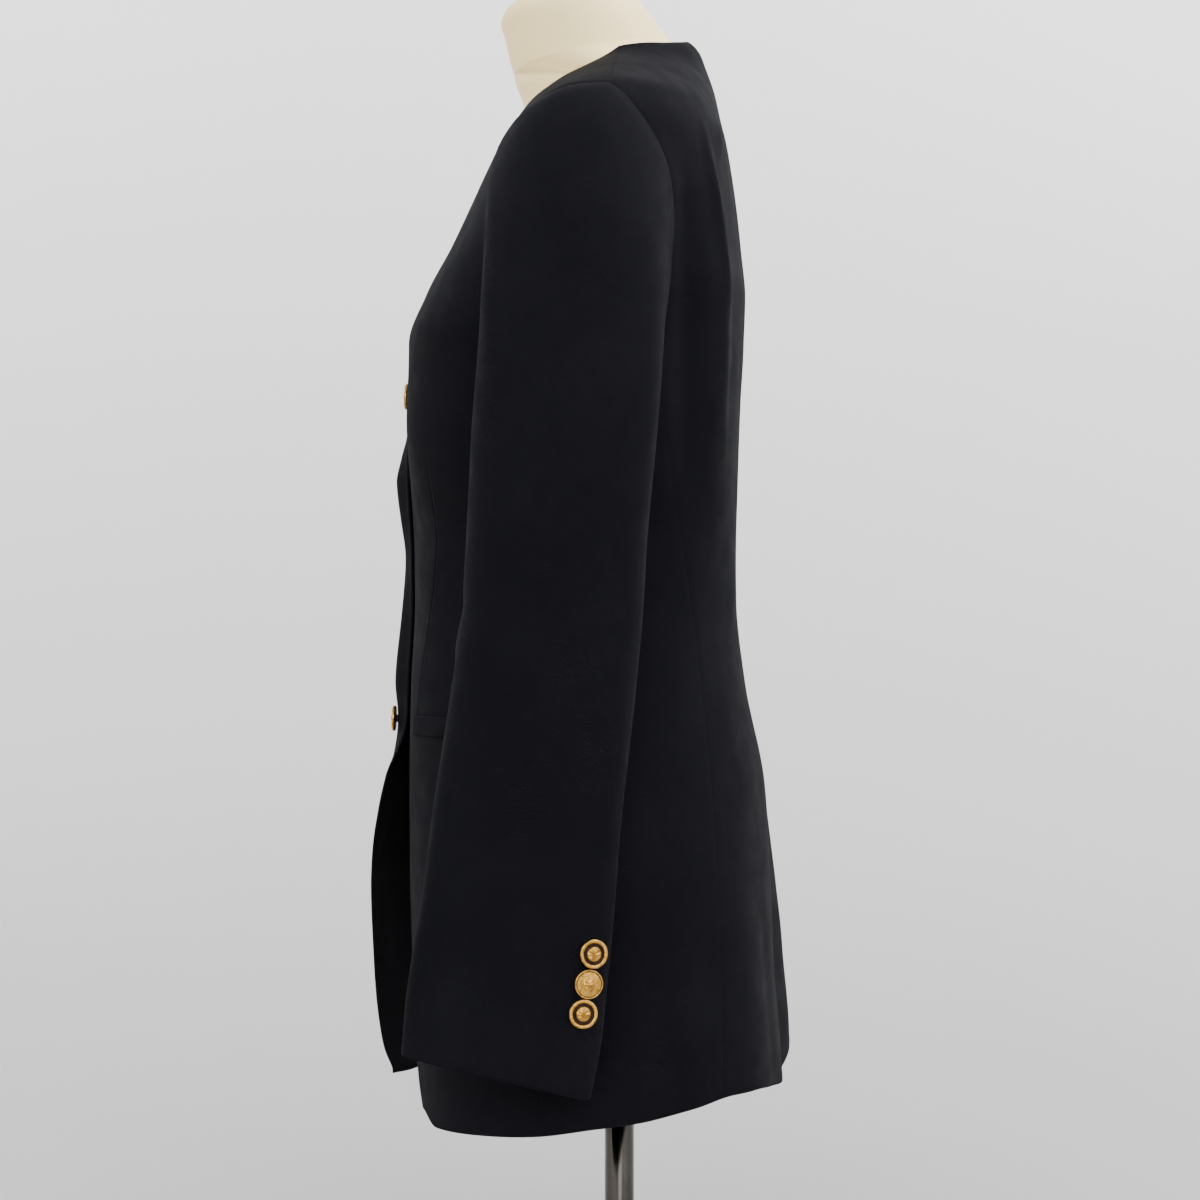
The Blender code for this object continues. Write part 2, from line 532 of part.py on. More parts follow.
def sleeve_panel(name, turns, side, cap_rows=8, arm_rows=11):
    """Sleeve panel between two seams, one column per turn in degrees."""
    nu = len(turns)
    v = np.concatenate([np.linspace(0, CAP_SHARE, cap_rows),
                        np.linspace(CAP_SHARE, 1, arm_rows)[1:]])[:, None]
    turn = np.array(turns)[None, :] + np.zeros_like(v)
    width = np.linalg.norm(sleeve_point(turn + 0.5, v) - sleeve_point(turn - 0.5, v), axis=-1)
    turn[:, 0] += 0.6 * GAP / width[:, 0]
    turn[:, -1] -= 0.6 * GAP / width[:, -1]
    outer = sleeve_point(turn, v)
    normal = sleeve_skin(turn, v)
    flip = np.array([side, 1, 1])
    middle = sleeve_ring(0.0, -0.05) + sleeve_ring(180.0, -0.05)
    if np.dot(normal[-6, nu // 2], outer[-6, nu // 2] - middle / 2) < 0:
        normal = -normal
    wall(name, outer * flip, (outer - CLOTH * normal) * flip, BLACK_CLOTH)


# ---------------------------------------------------------------- solids of turning
def frame_of(axis):
    """Two unit vectors across an axis."""
    axis = unit(np.asarray(axis, float))
    side = unit(np.cross((0.0, 0.0, 1.0) if abs(axis[2]) < 0.9 else (1.0, 0.0, 0.0), axis))
    return side, np.cross(axis, side), axis


def turned(name, profile, centre, axis, count, mat):
    """Solid of revolution; profile is (radius, height) from axis to axis."""
    p, q, w = frame_of(axis)
    verts, rings = [], []
    for radius, height in profile:
        if radius < 1e-9:
            rings.append([len(verts)])
            verts.append(np.asarray(centre) + height * w)
            continue
        rings.append(list(range(len(verts), len(verts) + count)))
        for k in range(count):
            a = 2 * math.pi * k / count
            verts.append(np.asarray(centre) + radius * (math.cos(a) * p + math.sin(a) * q) + height * w)
    faces = []
    for low, high in zip(rings, rings[1:]):
        for k in range(count):
            m = (k + 1) % count
            if len(low) == 1:
                faces.append((low[0], high[m], high[k]))
            elif len(high) == 1:
                faces.append((low[k], low[m], high[0]))
            else:
                faces.append((low[k], low[m], high[m], high[k]))
    return build(name, verts, faces, mat)


def stacked(name, rings, mat, first, last):
    """Closed solid through rings of points, with a middle point at each end."""
    count = len(rings[0])
    verts = [first] + [p for ring in rings for p in ring] + [last]
    faces = []
    for k in range(count):
        m = (k + 1) % count
        faces.append((0, 1 + m, 1 + k))
        for j in range(len(rings) - 1):
            a = 1 + j * count
            faces.append((a + k, a + m, a + count + m, a + count + k))
        top = 1 + (len(rings) - 1) * count
        faces.append((top + k, top + m, len(verts) - 1))
    return build(name, verts, faces, mat)


# ---------------------------------------------------------------- pieces
def make_body_panels():
    fronts = {}
    front = front_grid()
    fronts["left"] = panel("front_left", front, 1)
    fronts["right"] = panel("front_right", front, -1, lap_lift)
    side = side_grid()
    panel("side_left", side, 1)
    panel("side_right", side, -1, flare_lift)
    back = back_grid()
    panel("back_left", back, 1)
    panel("back_right", back, -1, flare_lift)
    return front, fronts


def make_sleeves():
    for side, label in ((1, "left"), (-1, "right")):
        hind, fore = BACK_TURNS.index(HIND_TURN), FRONT_TURNS.index(FORE_TURN)
        behind = [turn - 360.0 for turn in BACK_TURNS[hind:]]
        sleeve_panel("sleeve_top_" + label, behind + FRONT_TURNS[fore:-1][::-1], side)
        sleeve_panel("sleeve_under_" + label,
                     FRONT_TURNS[:fore + 1][::-1] + SIDE_TURNS[1:] + BACK_TURNS[1:hind + 1], side)


def patch_point(outer, u, v):
    """Point of a panel's faceted outer face at grid place (u, v)."""
    i, j = int(min(u, outer.shape[1] - 1.0001)), int(min(v, outer.shape[0] - 1.0001))
    a, b = outer[j, i], outer[j, i + 1]
    d, c = outer[j + 1, i], outer[j + 1, i + 1]
    s, t = u - i, v - j
    if np.linalg.norm(a - c) <= np.linalg.norm(b - d):
        return a + s * (b - a) + t * (c - b) if s >= t else a + t * (d - a) + s * (c - d)
    return a + s * (b - a) + t * (d - a) if s + t <= 1 else c + (1 - s) * (d - c) + (1 - t) * (b - c)


def make_welts(grid, fronts):
    for label in ("left", "right"):
        outer, normal = fronts[label]
        place = []
        for h in (WELT_BOTTOM, WELT_TOP):
            v = np.interp(h, grid[:14, 5, 1], np.arange(14.0))
            across = np.linspace(0, 10, 401)
            line = np.array([patch_point(outer, u, v) for u in across])
            start = np.interp(WELT_START, np.abs(line[:, 0]), across)
            run = np.concatenate([[0], np.cumsum(np.linalg.norm(np.diff(line, axis=0), axis=1))])
            begin = np.interp(start, across, run)
            u = np.interp(np.linspace(begin, begin + WELT_LENGTH, 15), run, across)
            place.append((u, np.full(15, v)))
        rows = []
        for share in (0.0, 0.5, 1.0):
            u = place[0][0] * (1 - share) + place[1][0] * share
            v = place[0][1] * (1 - share) + place[1][1] * share
            rows.append([(patch_point(outer, a, b), patch_point(normal, a, b)) for a, b in zip(u, v)])
        base = np.array([[p for p, _ in row] for row in rows])
        out = unit(np.array([[n for _, n in row] for row in rows]))
        wall("pocket_welt_" + label, base + out * (0.0008 + WELT_THICK), base + out * 0.0008, BLACK_CLOTH)


def make_front_buttons():
    for name, h in FRONT_BUTTONS:
        turn = np.array(turn_at_x(-0.0001, h))

        def point(a, b):
            return body(a, b, -1, lap_lift)
        spot = point(turn, np.array(h))
        out = -skin(point, turn, np.array(h))
        profile = [(r * BUTTON_RADIUS, z) for r, z in RIMMED]
        turned(name, profile, spot, out, 16, GOLD)


def make_cuff_buttons():
    turns = np.linspace(285.0, 359.0, 2000)
    for side, label in ((1, "left"), (-1, "right")):
        for k, (y, h, shape) in enumerate(CUFF_BUTTONS):
            v = np.full(turns.shape, 0.9)
            for _ in range(12):
                at = sleeve_point(turns, v)
                v = v + (at[:, 2] - WAIST - h) / (BICEP - CUFF) * (1 - CAP_SHARE)
                v = np.clip(v, CAP_SHARE, 1.0)
            at = sleeve_point(turns, v)
            i = int(np.argmin(np.abs(at[:, 1] - y)))
            out = sleeve_skin(turns[i:i + 1], v[i:i + 1])[0]
            out = out if out[0] > 0 else -out
            flip = np.array([side, 1, 1])
            profile = [(r * BUTTON_RADIUS, z + 0.0002) for r, z in shape]
            turned("button_cuff_%s_%d" % (label, k + 1), profile, at[i] * flip, out * flip, 16, GOLD)


def make_form():
    count = 40
    turns = np.linspace(0, 2 * math.pi, count, endpoint=False)
    half = np.where(turns <= math.pi, turns, 2 * math.pi - turns)
    side = np.where(turns <= math.pi, 1.0, -1.0)
    rings = []

    def inner(h, inset):
        hh = np.full(count, h)
        out = body(half, hh) - inset * skin(body, half, hh)
        out[:, 0] = np.where(np.sin(half) < 1e-6, 0.0, out[:, 0]) * side
        if h > THROAT[0][0]:
            middle, wide, deep = (float(smooth(THROAT, h, c)) for c in (1, 2, 3))
            reach = np.hypot(out[:, 0] / wide, (out[:, 1] - middle) / deep)
            grow = np.maximum(1.0, 1.0 / reach)
            out[:, 0] *= grow
            out[:, 1] = middle + (out[:, 1] - middle) * grow
        return out
    floor = inner(FORM_HEIGHTS[0], smooth(FORM_INSET, FORM_HEIGHTS[0]) + 0.004)
    floor[:, 2] = WAIST + FORM_BOTTOM
    rings.append(floor * np.array([0.955, 0.955, 1.0]))
    for h in FORM_HEIGHTS:
        rings.append(inner(h, float(smooth(FORM_INSET, h))))
    for y, h, wide, deep, rise in FORM_NECK:
        rise = math.radians(rise)
        rings.append(np.stack([wide * np.sin(turns), y - deep * np.cos(turns) * math.cos(rise),
                               WAIST + h - deep * np.cos(turns) * math.sin(rise)], axis=-1))
    top = np.array([0.0, FORM_NECK[-1][0] - 0.0002, WAIST + FORM_NECK[-1][1] + 0.0005])
    stacked("dress_form", rings, CREAM, np.array([0.0, -0.02, WAIST + FORM_BOTTOM]), top)


def make_stand():
    turned("stand_base", BASE, (0, 0, 0), (0, 0, 1), 56, CHROME)
    low, high = BASE[-1][1] + GAP, WAIST + FORM_BOTTOM - GAP
    turned("pole", [(0, low), (POLE_RADIUS, low), (POLE_RADIUS, high), (0, high)],
           (0, 0, 0), (0, 0, 1), 28, CHROME)


front, fronts = make_body_panels()
make_sleeves()
make_welts(front, fronts)
make_front_buttons()
make_cuff_buttons()
make_form()
make_stand()
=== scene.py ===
"""Looks of a collarless blazer on a limbless dress form with a pole stand.

Metres, +Z up, the front faces -Y, the wearer's left is +X. The cloth pieces are
thin shells on the forms of the CAD solids, from the same tables.
"""

import math

import bpy
import numpy as np
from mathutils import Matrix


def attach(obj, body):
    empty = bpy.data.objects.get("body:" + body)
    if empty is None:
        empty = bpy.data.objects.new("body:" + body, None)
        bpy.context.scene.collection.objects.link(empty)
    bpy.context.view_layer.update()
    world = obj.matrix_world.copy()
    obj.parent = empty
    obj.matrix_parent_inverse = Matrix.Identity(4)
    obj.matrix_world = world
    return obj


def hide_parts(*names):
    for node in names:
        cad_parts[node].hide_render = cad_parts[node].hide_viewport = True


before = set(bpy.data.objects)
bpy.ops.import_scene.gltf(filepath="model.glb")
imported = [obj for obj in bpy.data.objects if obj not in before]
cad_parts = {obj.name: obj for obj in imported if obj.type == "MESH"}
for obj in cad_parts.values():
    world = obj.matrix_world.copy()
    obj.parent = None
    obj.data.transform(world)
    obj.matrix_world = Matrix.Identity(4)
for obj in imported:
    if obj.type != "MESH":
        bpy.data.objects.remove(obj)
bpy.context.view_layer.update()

WAIST = 1.010           # height over the floor from which the tables count theirs
CLOTH = 0.0020          # thickness of the cloth
FACING = 0.075          # width of the cloth facing inside the front edges
GAP = -0.0004           # between sewn edges, which press into each other
UNDERARM = 0.137        # height where the front edge turns into the neckline
SHOULDER = math.pi / 2  # turn of the shoulder seam
SHOULDER_END = 0.322    # height of the shoulder seam at the armhole
MEAN_RADIUS = 0.15      # of the body, to read a turn as a distance
PITCH = 0.0031      # spacing of the cloth's points

# ---------------------------------------------------------------- tables
# Body rings: height, half width, y at centre front, y at centre back,
# y of the widest point, squareness of the front half, of the back half.
BODY = [
    (-0.360, 0.1900, -0.1370, 0.1120, -0.020, 2.4, 2.4),
    (-0.300, 0.1890, -0.1390, 0.1095, -0.020, 2.4, 2.4),
    (-0.250, 0.1855, -0.1415, 0.1050, -0.021, 2.4, 2.4),
    (-0.190, 0.1775, -0.1430, 0.1014, -0.023, 2.4, 2.4),
    (-0.125, 0.1625, -0.1440, 0.0970, -0.025, 2.4, 2.4),
    (-0.055, 0.1450, -0.1425, 0.0845, -0.027, 2.4, 2.4),
    (0.000, 0.1370, -0.1400, 0.0800, -0.029, 2.4, 2.4),
    (0.030, 0.1365, -0.1400, 0.0800, -0.030, 2.4, 2.4),
    (0.083, 0.1450, -0.1420, 0.0812, -0.030, 2.7, 2.4),
    (0.137, 0.1645, -0.1425, 0.0832, -0.030, 3.0, 2.4),
    (0.170, 0.1740, -0.1435, 0.0850, -0.029, 3.0, 2.4),
    (0.203, 0.1815, -0.1320, 0.0855, -0.027, 2.7, 2.5),
    (0.235, 0.1870, -0.1145, 0.0825, -0.023, 2.6, 2.5),
    (0.260, 0.1905, -0.1020, 0.0800, -0.019, 2.7, 2.5),
    (0.284, 0.1935, -0.0905, 0.0770, -0.014, 2.8, 2.4),
    (0.305, 0.1950, -0.0800, 0.0735, -0.010, 2.7, 2.3),
    (0.322, 0.1898, -0.0685, 0.0700, -0.008, 2.5, 2.1),
    (0.345, 0.1350, -0.0540, 0.0660, -0.004, 1.7, 1.9),
    (0.368, 0.0780, -0.0240, 0.0585, 0.000, 1.4, 1.8),
    (0.390, 0.0640, -0.0220, 0.0500, 0.003, 1.4, 1.8),
]
# Armhole: turn in degrees (0 shoulder point, 90 foremost, 180 underarm,
# 270 rearmost), y, height.
ARMHOLE = [
    (0.0, -0.0080, 0.3220), (8.5, -0.0260, 0.3218), (17.9, -0.0440, 0.3165),
    (28.0, -0.0590, 0.3070), (39.3, -0.0705, 0.2920), (51.4, -0.0770, 0.2715),
    (63.4, -0.0800, 0.2500), (76.9, -0.0820, 0.2275), (90.0, -0.0835, 0.2050),
    (107.4, -0.0828, 0.1850), (124.5, -0.0780, 0.1660), (141.6, -0.0680, 0.1490),
    (161.7, -0.0500, 0.1345), (180.0, -0.0300, 0.1280), (193.1, -0.0100, 0.1320),
    (206.5, 0.0080, 0.1425), (219.4, 0.0205, 0.1580), (231.5, 0.0275, 0.1755),
    (244.2, 0.0305, 0.1950), (257.1, 0.0325, 0.2150), (270.0, 0.0336, 0.2350),
    (286.9, 0.0305, 0.2540), (301.4, 0.0265, 0.2700), (315.4, 0.0208, 0.2850),
    (329.1, 0.0130, 0.2985), (341.4, 0.0050, 0.3095), (351.5, -0.0018, 0.3175),
    (360.0, -0.0080, 0.3220),
]
# Turns at the armhole of the side panel's seams and of the sleeve's.
FRONT_SEAM_TURN, FORE_TURN = 156.0, 117.0
BACK_SEAM_TURN, HIND_TURN = 219.6, 283.0
# Seams of the side panel: height, y.
FRONT_SEAM = [(-0.360, -0.052), (-0.150, -0.050), (0.020, -0.053), (0.140, -0.056)]
BACK_SEAM = [(-0.360, 0.066), (-0.162, 0.0605), (-0.048, 0.0520), (0.0065, 0.0446),
             (0.069, 0.0362), (0.114, 0.0285), (0.160, 0.0205)]
FRONT_SEAM_FOOT, BACK_SEAM_FOOT = -0.338, -0.324
BACK_SPLIT = 0.160      # height at the centre back where its lower part ends
# Front edge and neckline: height, x towards the panel's own side.
FRONT_EDGE = [
    (-0.336, 0.0830), (-0.320, 0.0700), (-0.300, 0.0610), (-0.270, 0.0515),
    (-0.240, 0.0415), (-0.210, 0.0305), (-0.180, 0.0180), (-0.150, 0.0040),
    (-0.125, -0.0080), (-0.105, -0.0160), (-0.085, -0.0200), (0.137, -0.0200),
]
NECKLINE = [
    (0.137, -0.0200), (0.146, -0.0190), (0.158, -0.0115), (0.175, -0.0015),
    (0.200, 0.0110), (0.230, 0.0255), (0.260, 0.0385), (0.290, 0.0500),
    (0.320, 0.0610), (0.345, 0.0700), (0.360, 0.0755), (0.368, 0.0780),
]
HEM = [  # turn from centre front in degrees, height
    (0.0, -0.3450), (25.0, -0.3440), (60.0, -0.3385), (75.0, -0.3358), (90.0, -0.3315),
    (105.0, -0.3272), (120.0, -0.3206), (132.0, -0.3160), (140.0, -0.3162), (150.0, -0.3192),
    (160.0, -0.3228), (170.0, -0.3268), (180.0, -0.3330),
]
# Edge of the cloth round the back of the neck, which rolls in: turn, height.
BACK_NECK = [(90.0, 0.3680), (102.0, 0.3706), (122.0, 0.3738), (150.0, 0.3790),
             (168.0, 0.3825), (180.0, 0.3832)]
ROLL, ROLL_DEPTH = 0.0095, 0.0042
# Right front stands off over the left: height, lift at its edge.
LAP = [
    (-0.345, 0.0335), (-0.317, 0.0355), (-0.288, 0.0360), (-0.250, 0.0347),
    (-0.200, 0.0318), (-0.170, 0.0284), (-0.140, 0.0224), (-0.112, 0.0152),
    (-0.081, 0.0100), (-0.055, 0.0130), (-0.014, 0.0118), (0.028, 0.0090),
    (0.055, 0.0118), (0.081, 0.0136), (0.098, 0.0092), (0.114, 0.0046), (0.140, 0.0030),
    (0.165, 0.0028), (0.190, 0.0024), (0.220, 0.0000), (0.390, 0.0000),
]
LAID_EDGE = 0.0029      # lift of the closed part's free edge, on the left front
CLOSED_FOOT, CLOSED_RISE = -0.122, 0.047
# How far round the lift reaches: height, turn in degrees.
LAP_REACH = [(-0.345, 62.0), (-0.200, 58.0), (-0.100, 40.0), (-0.060, 26.0), (0.390, 22.0)]
# Right back stands out beside the vent: height, lift.
VENT_FLARE = [(-0.345, 0.0145), (-0.320, 0.0150), (-0.290, 0.0155), (-0.240, 0.0150),
              (-0.200, 0.0120), (-0.156, 0.0075), (-0.126, 0.0045), (-0.090, 0.0015),
              (-0.050, 0.0000), (0.390, 0.0000)]
VENT_TOP = -0.165
# Large folds: turn from centre front, spread, top, bottom, depth outwards.
DRAPE = [
    (127.0, 7.0, 0.300, 0.040, -0.0050),
    (141.0, 5.5, 0.310, 0.030, 0.0030),
    (112.0, 9.0, -0.080, -0.420, -0.0025),
    (138.0, 10.0, -0.090, -0.420, 0.0035),
    (46.0, 9.0, 0.120, -0.060, -0.0015),
    (27.0, 11.0, 0.170, 0.050, 0.0036),
    (0.0, 15.0, 0.225, 0.105, -0.0022),
    (180.0, 22.0, 0.020, -0.300, 0.0026),
]
# Sleeve rings: height, x, y, half depth, half thickness, squareness, pitch.
SLEEVE = [
    (-0.2913, 0.2195, -0.0773, 0.0594, 0.0215, 4.4, 13.4),
    (-0.2560, 0.2175, -0.0723, 0.0611, 0.0230, 4.2, 12.4),
    (-0.2250, 0.2155, -0.0685, 0.0605, 0.0250, 3.9, 11.0),
    (-0.1900, 0.2130, -0.0640, 0.0592, 0.0275, 3.5, 9.5),
    (-0.1400, 0.2100, -0.0590, 0.0580, 0.0310, 3.1, 8.0),
    (-0.0900, 0.2080, -0.0530, 0.0574, 0.0345, 2.8, 7.0),
    (-0.0450, 0.2070, -0.0473, 0.0570, 0.0375, 2.6, 6.0),
    (0.0000, 0.2075, -0.0420, 0.0561, 0.0400, 2.5, 5.0),
    (0.0450, 0.2095, -0.0398, 0.0556, 0.0420, 2.4, 4.0),
    (0.1000, 0.2125, -0.0358, 0.0567, 0.0435, 2.3, 2.0),
]
BICEP, CUFF = 0.1000, -0.2913
CAP_SHARE = 0.36        # of a sleeve's share v, above the bicep
# Way in which the sleeve leaves the armhole, for each 1 outwards:
# turn, forwards, upwards, share of the reach to the bicep.
SLEEVE_HEAD = [
    (0.0, 0.10, -0.34, 0.66), (20.0, 0.30, -0.30, 0.68), (40.0, 0.24, -0.22, 0.70),
    (60.0, 0.12, -0.14, 0.70), (90.0, 0.03, -0.14, 0.70), (140.0, 0.02, -0.30, 0.70),
    (180.0, 0.00, -0.44, 0.70),
    (225.0, -0.06, -0.30, 0.70), (270.0, 0.05, -0.16, 0.66), (315.0, 0.16, -0.26, 0.64),
    (340.0, 0.16, -0.34, 0.64), (360.0, 0.10, -0.34, 0.66),
]
# Padded edge of the shoulder, which meets the sleeve's head: reach outwards at the
# armhole, how far in it fades.
PADDING, PADDING_WIDTH = 0.0044, 0.0095
# How far the form lies inside the cloth's outer face: height, distance.
FORM_INSET = [(-0.250, 0.0160), (-0.150, 0.0140), (0.000, 0.0100), (0.100, 0.0090),
              (0.200, 0.0088), (0.270, 0.0084), (0.310, 0.0082), (0.360, 0.0088)]
# Throat of the form, where it comes out of the shoulders: height, y of its
# middle, half width, half depth.
THROAT = [(0.290, -0.0150, 0.0520, 0.0540), (0.322, -0.0150, 0.0540, 0.0530),
          (0.345, -0.0145, 0.0550, 0.0510), (0.3625, -0.0180, 0.0545, 0.0535)]
# Neck of the form: y, height, half width, half depth, backward rise in degrees.
FORM_NECK = [
    (-0.0180, 0.3725, 0.0545, 0.0555, 10.4),
    (-0.0220, 0.3800, 0.0535, 0.0540, 10.4),
    (-0.0285, 0.3940, 0.0525, 0.0506, 10.4),
    (-0.0350, 0.4060, 0.0510, 0.0473, 10.4),
    (-0.0365, 0.4135, 0.0455, 0.0420, 10.4),
    (-0.0372, 0.4180, 0.0325, 0.0300, 10.4),
    (-0.0376, 0.4197, 0.0160, 0.0150, 10.4),
]
POLE_RADIUS = 0.01015
FORM_BOTTOM, FORM_ROUND = -0.250, -0.240       # underside, top of its rounded edge
# Half section of the base: radius, height.
BASE = [(0.000, 0.000), (0.1594, 0.000), (0.160, 0.0008), (0.160, 0.0052), (0.1590, 0.0075),
        (0.157, 0.0088), (0.150, 0.0093), (0.060, 0.0130), (0.040, 0.0145), (0.026, 0.0170),
        (0.0215, 0.0200), (0.0195, 0.0240), (0.019, 0.0330), (0.0182, 0.034), (0.0105, 0.034)]
BUTTON_RADIUS = 0.0090
FRONT_BUTTONS = [("button_front_upper", 0.140), ("button_front_lower", -0.0815)]
# Buttons of the cuff: y, height, kind.
CUFF_BUTTONS = [(-0.0183, -0.2150, "rimmed"), (-0.0211, -0.2332, "plain"),
                (-0.0243, -0.2512, "rimmed")]
WELT_TOP, WELT_BOTTOM = -0.0765, -0.0895
WELT_START, WELT_LENGTH = 0.068, 0.130      # x of its front end, length
WELT_STANDS, WELT_BELLY, WELT_THICK = 0.00195, 0.00025, 0.0015
# Front dart: height, x.
DART = [(-0.0765, 0.0715), (-0.020, 0.0800), (0.050, 0.0920), (0.112, 0.1040)]

# Creases placed on the body. Side: 1 left, -1 right, 0 both; turn from
# centre front in degrees and height of each end; half width; depth outwards.
CREASES = [
    (0, 135.0, 0.320, 143.5, 0.180, 0.0052, 0.0029),
    (0, 138.5, 0.265, 148.0, 0.055, 0.0075, 0.0013),
    (0, 122.5, 0.300, 131.0, 0.090, 0.0105, -0.0020),
    (0, 156.0, 0.326, 141.0, 0.276, 0.0055, 0.0014),
    (1, 137.0, 0.255, 131.0, 0.150, 0.0080, 0.0009),
    (-1, 139.0, 0.240, 133.0, 0.120, 0.0085, 0.0010),
    (1, 158.0, 0.060, 141.0, 0.012, 0.0110, -0.0010),
    (-1, 160.0, 0.070, 144.0, 0.020, 0.0100, -0.0011),
    (1, 166.0, 0.020, 149.0, -0.026, 0.0100, 0.0008),
    (-1, 163.0, 0.026, 146.0, -0.034, 0.0120, 0.0007),
    (0, 84.0, 0.060, 96.0, -0.020, 0.0120, -0.0009),
    (1, 60.0, 0.150, 71.0, 0.060, 0.0090, -0.0008),
    (-1, 57.0, 0.156, 70.0, 0.048, 0.0100, -0.0008),
    (1, 30.0, 0.020, 52.0, -0.016, 0.0100, -0.0008),
    (-1, 26.0, 0.030, 50.0, -0.006, 0.0110, -0.0009),
    (1, 120.0, -0.190, 118.0, -0.360, 0.0140, 0.0016),
    (-1, 124.0, -0.170, 121.0, -0.360, 0.0150, 0.0014),
    (1, 152.0, -0.180, 155.0, -0.360, 0.0120, -0.0015),
    (-1, 150.0, -0.200, 152.0, -0.360, 0.0130, -0.0012),
    (1, 78.0, -0.160, 76.0, -0.360, 0.0150, 0.0012),
    (-1, 81.0, -0.150, 78.0, -0.360, 0.0140, 0.0014),
    (1, 56.0, 0.262, 70.0, 0.212, 0.0070, 0.0008),
    (-1, 54.0, 0.268, 69.0, 0.205, 0.0075, 0.0008),
]
ARM_DEGREE, ARM_LENGTH = 0.00085, 0.60      # a degree round the arm and its length
# Creases of the sleeves. Side; turn in degrees and share of the length from the
# armhole for each end; half width; depth outwards.
ARM_CREASES = [
    (1, 60.0, 0.520, 118.0, 0.566, 0.0085, -0.0012),
    (1, 70.0, 0.605, 122.0, 0.590, 0.0070, -0.0010),
    (1, 82.0, 0.548, 124.0, 0.640, 0.0075, 0.0008),
    (-1, 64.0, 0.530, 120.0, 0.572, 0.0080, -0.0013),
    (-1, 74.0, 0.622, 121.0, 0.600, 0.0075, -0.0009),
    (-1, 86.0, 0.552, 126.0, 0.630, 0.0075, 0.0009),
    (1, 236.0, 0.330, 262.0, 0.420, 0.0090, -0.0012),
    (-1, 232.0, 0.340, 264.0, 0.440, 0.0095, -0.0012),
    (1, 300.0, 0.220, 318.0, 0.400, 0.0110, -0.0010),
    (-1, 303.0, 0.240, 320.0, 0.380, 0.0115, -0.0010),
    (1, 62.0, 0.150, 46.0, 0.330, 0.0100, 0.0009),
    (-1, 58.0, 0.160, 44.0, 0.350, 0.0100, 0.0009),
    (1, 190.0, 0.060, 168.0, 0.230, 0.0090, -0.0012),
    (-1, 186.0, 0.070, 166.0, 0.240, 0.0090, -0.0012),
    (1, 340.0, 0.700, 352.0, 0.905, 0.0120, -0.0007),
    (-1, 338.0, 0.690, 350.0, 0.880, 0.0130, -0.0007),
]
# Slow waves of the cloth: across, along, phase, height.
WAVES = [(7.1, 21.0, 0.4, 0.00035), (-11.3, 33.0, 2.1, 0.00025), (4.7, -47.0, 4.0, 0.00020)]


# ---------------------------------------------------------------- helpers
def smooth(rows, at, column=1):
    """Smooth curve through a table's rows, sorted by their first column."""
    rows = sorted(rows, key=lambda row: row[0])
    xs = np.array([row[0] for row in rows], float)
    ys = np.array([row[column] for row in rows], float)
    at = np.clip(np.asarray(at, float), xs[0], xs[-1])
    step = np.diff(xs)
    slope = np.diff(ys) / step
    tangent = np.zeros_like(ys)
    tangent[0], tangent[-1] = slope[0], slope[-1]
    for i in range(1, len(xs) - 1):
        if slope[i - 1] * slope[i] > 0:
            a = 2 * step[i] + step[i - 1]
            b = step[i] + 2 * step[i - 1]
            tangent[i] = (a + b) / (a / slope[i - 1] + b / slope[i])
    k = np.clip(np.searchsorted(xs, at) - 1, 0, len(xs) - 2)
    t = (at - xs[k]) / step[k]
    return ((1 + 2 * t) * (1 - t) ** 2 * ys[k] + t * (1 - t) ** 2 * step[k] * tangent[k]
            + t * t * (3 - 2 * t) * ys[k + 1] + t * t * (t - 1) * step[k] * tangent[k + 1])


def ease(t):
    t = np.clip(t, 0.0, 1.0)
    return t * t * (3 - 2 * t)


def unit(v):
    return v / np.maximum(np.linalg.norm(v, axis=-1, keepdims=True), 1e-12)


def stroke(px, py, ax, ay, bx, by, width):
    """Soft ridge along a line from a to b, fading at its ends and sides."""
    dx, dy = bx - ax, by - ay
    s = ((px - ax) * dx + (py - ay) * dy) / (dx * dx + dy * dy)
    off = np.hypot(px - ax - s * dx, py - ay - s * dy)
    return np.exp(-(off / width) ** 2) * np.sin(math.pi * np.clip(s, 0, 1)) ** 1.3


def soft(turn, h, side):
    """Creases and slow waves of the body's cloth."""
    out = np.zeros_like(turn)
    fade = ease((math.pi - turn) / 0.30)
    for at, t0, h0, t1, h1, width, depth in CREASES:
        if at in (0, side):
            x0, x1 = math.radians(t0) * MEAN_RADIUS, math.radians(t1) * MEAN_RADIUS
            shape = stroke(turn * MEAN_RADIUS, h, x0, h0, x1, h1, width)
            out = out + depth * shape * (1.0 if at == 0 else fade)
    shift_by = 0.0 if side > 0 else 1.7
    fade = fade * (1 - 0.75 * ease((h - 0.300) / 0.040))
    for across, along, phase, depth in WAVES:
        out = out + depth * fade * np.sin(across * turn + along * h + phase + shift_by)
    over = (h - smooth(BACK_NECK, np.degrees(turn)) + ROLL) / ROLL
    out = out - ROLL_DEPTH * np.clip(over, 0, 1) ** 2 * ease((np.degrees(turn) - 105.0) / 30.0)
    return out + padding(turn, h)


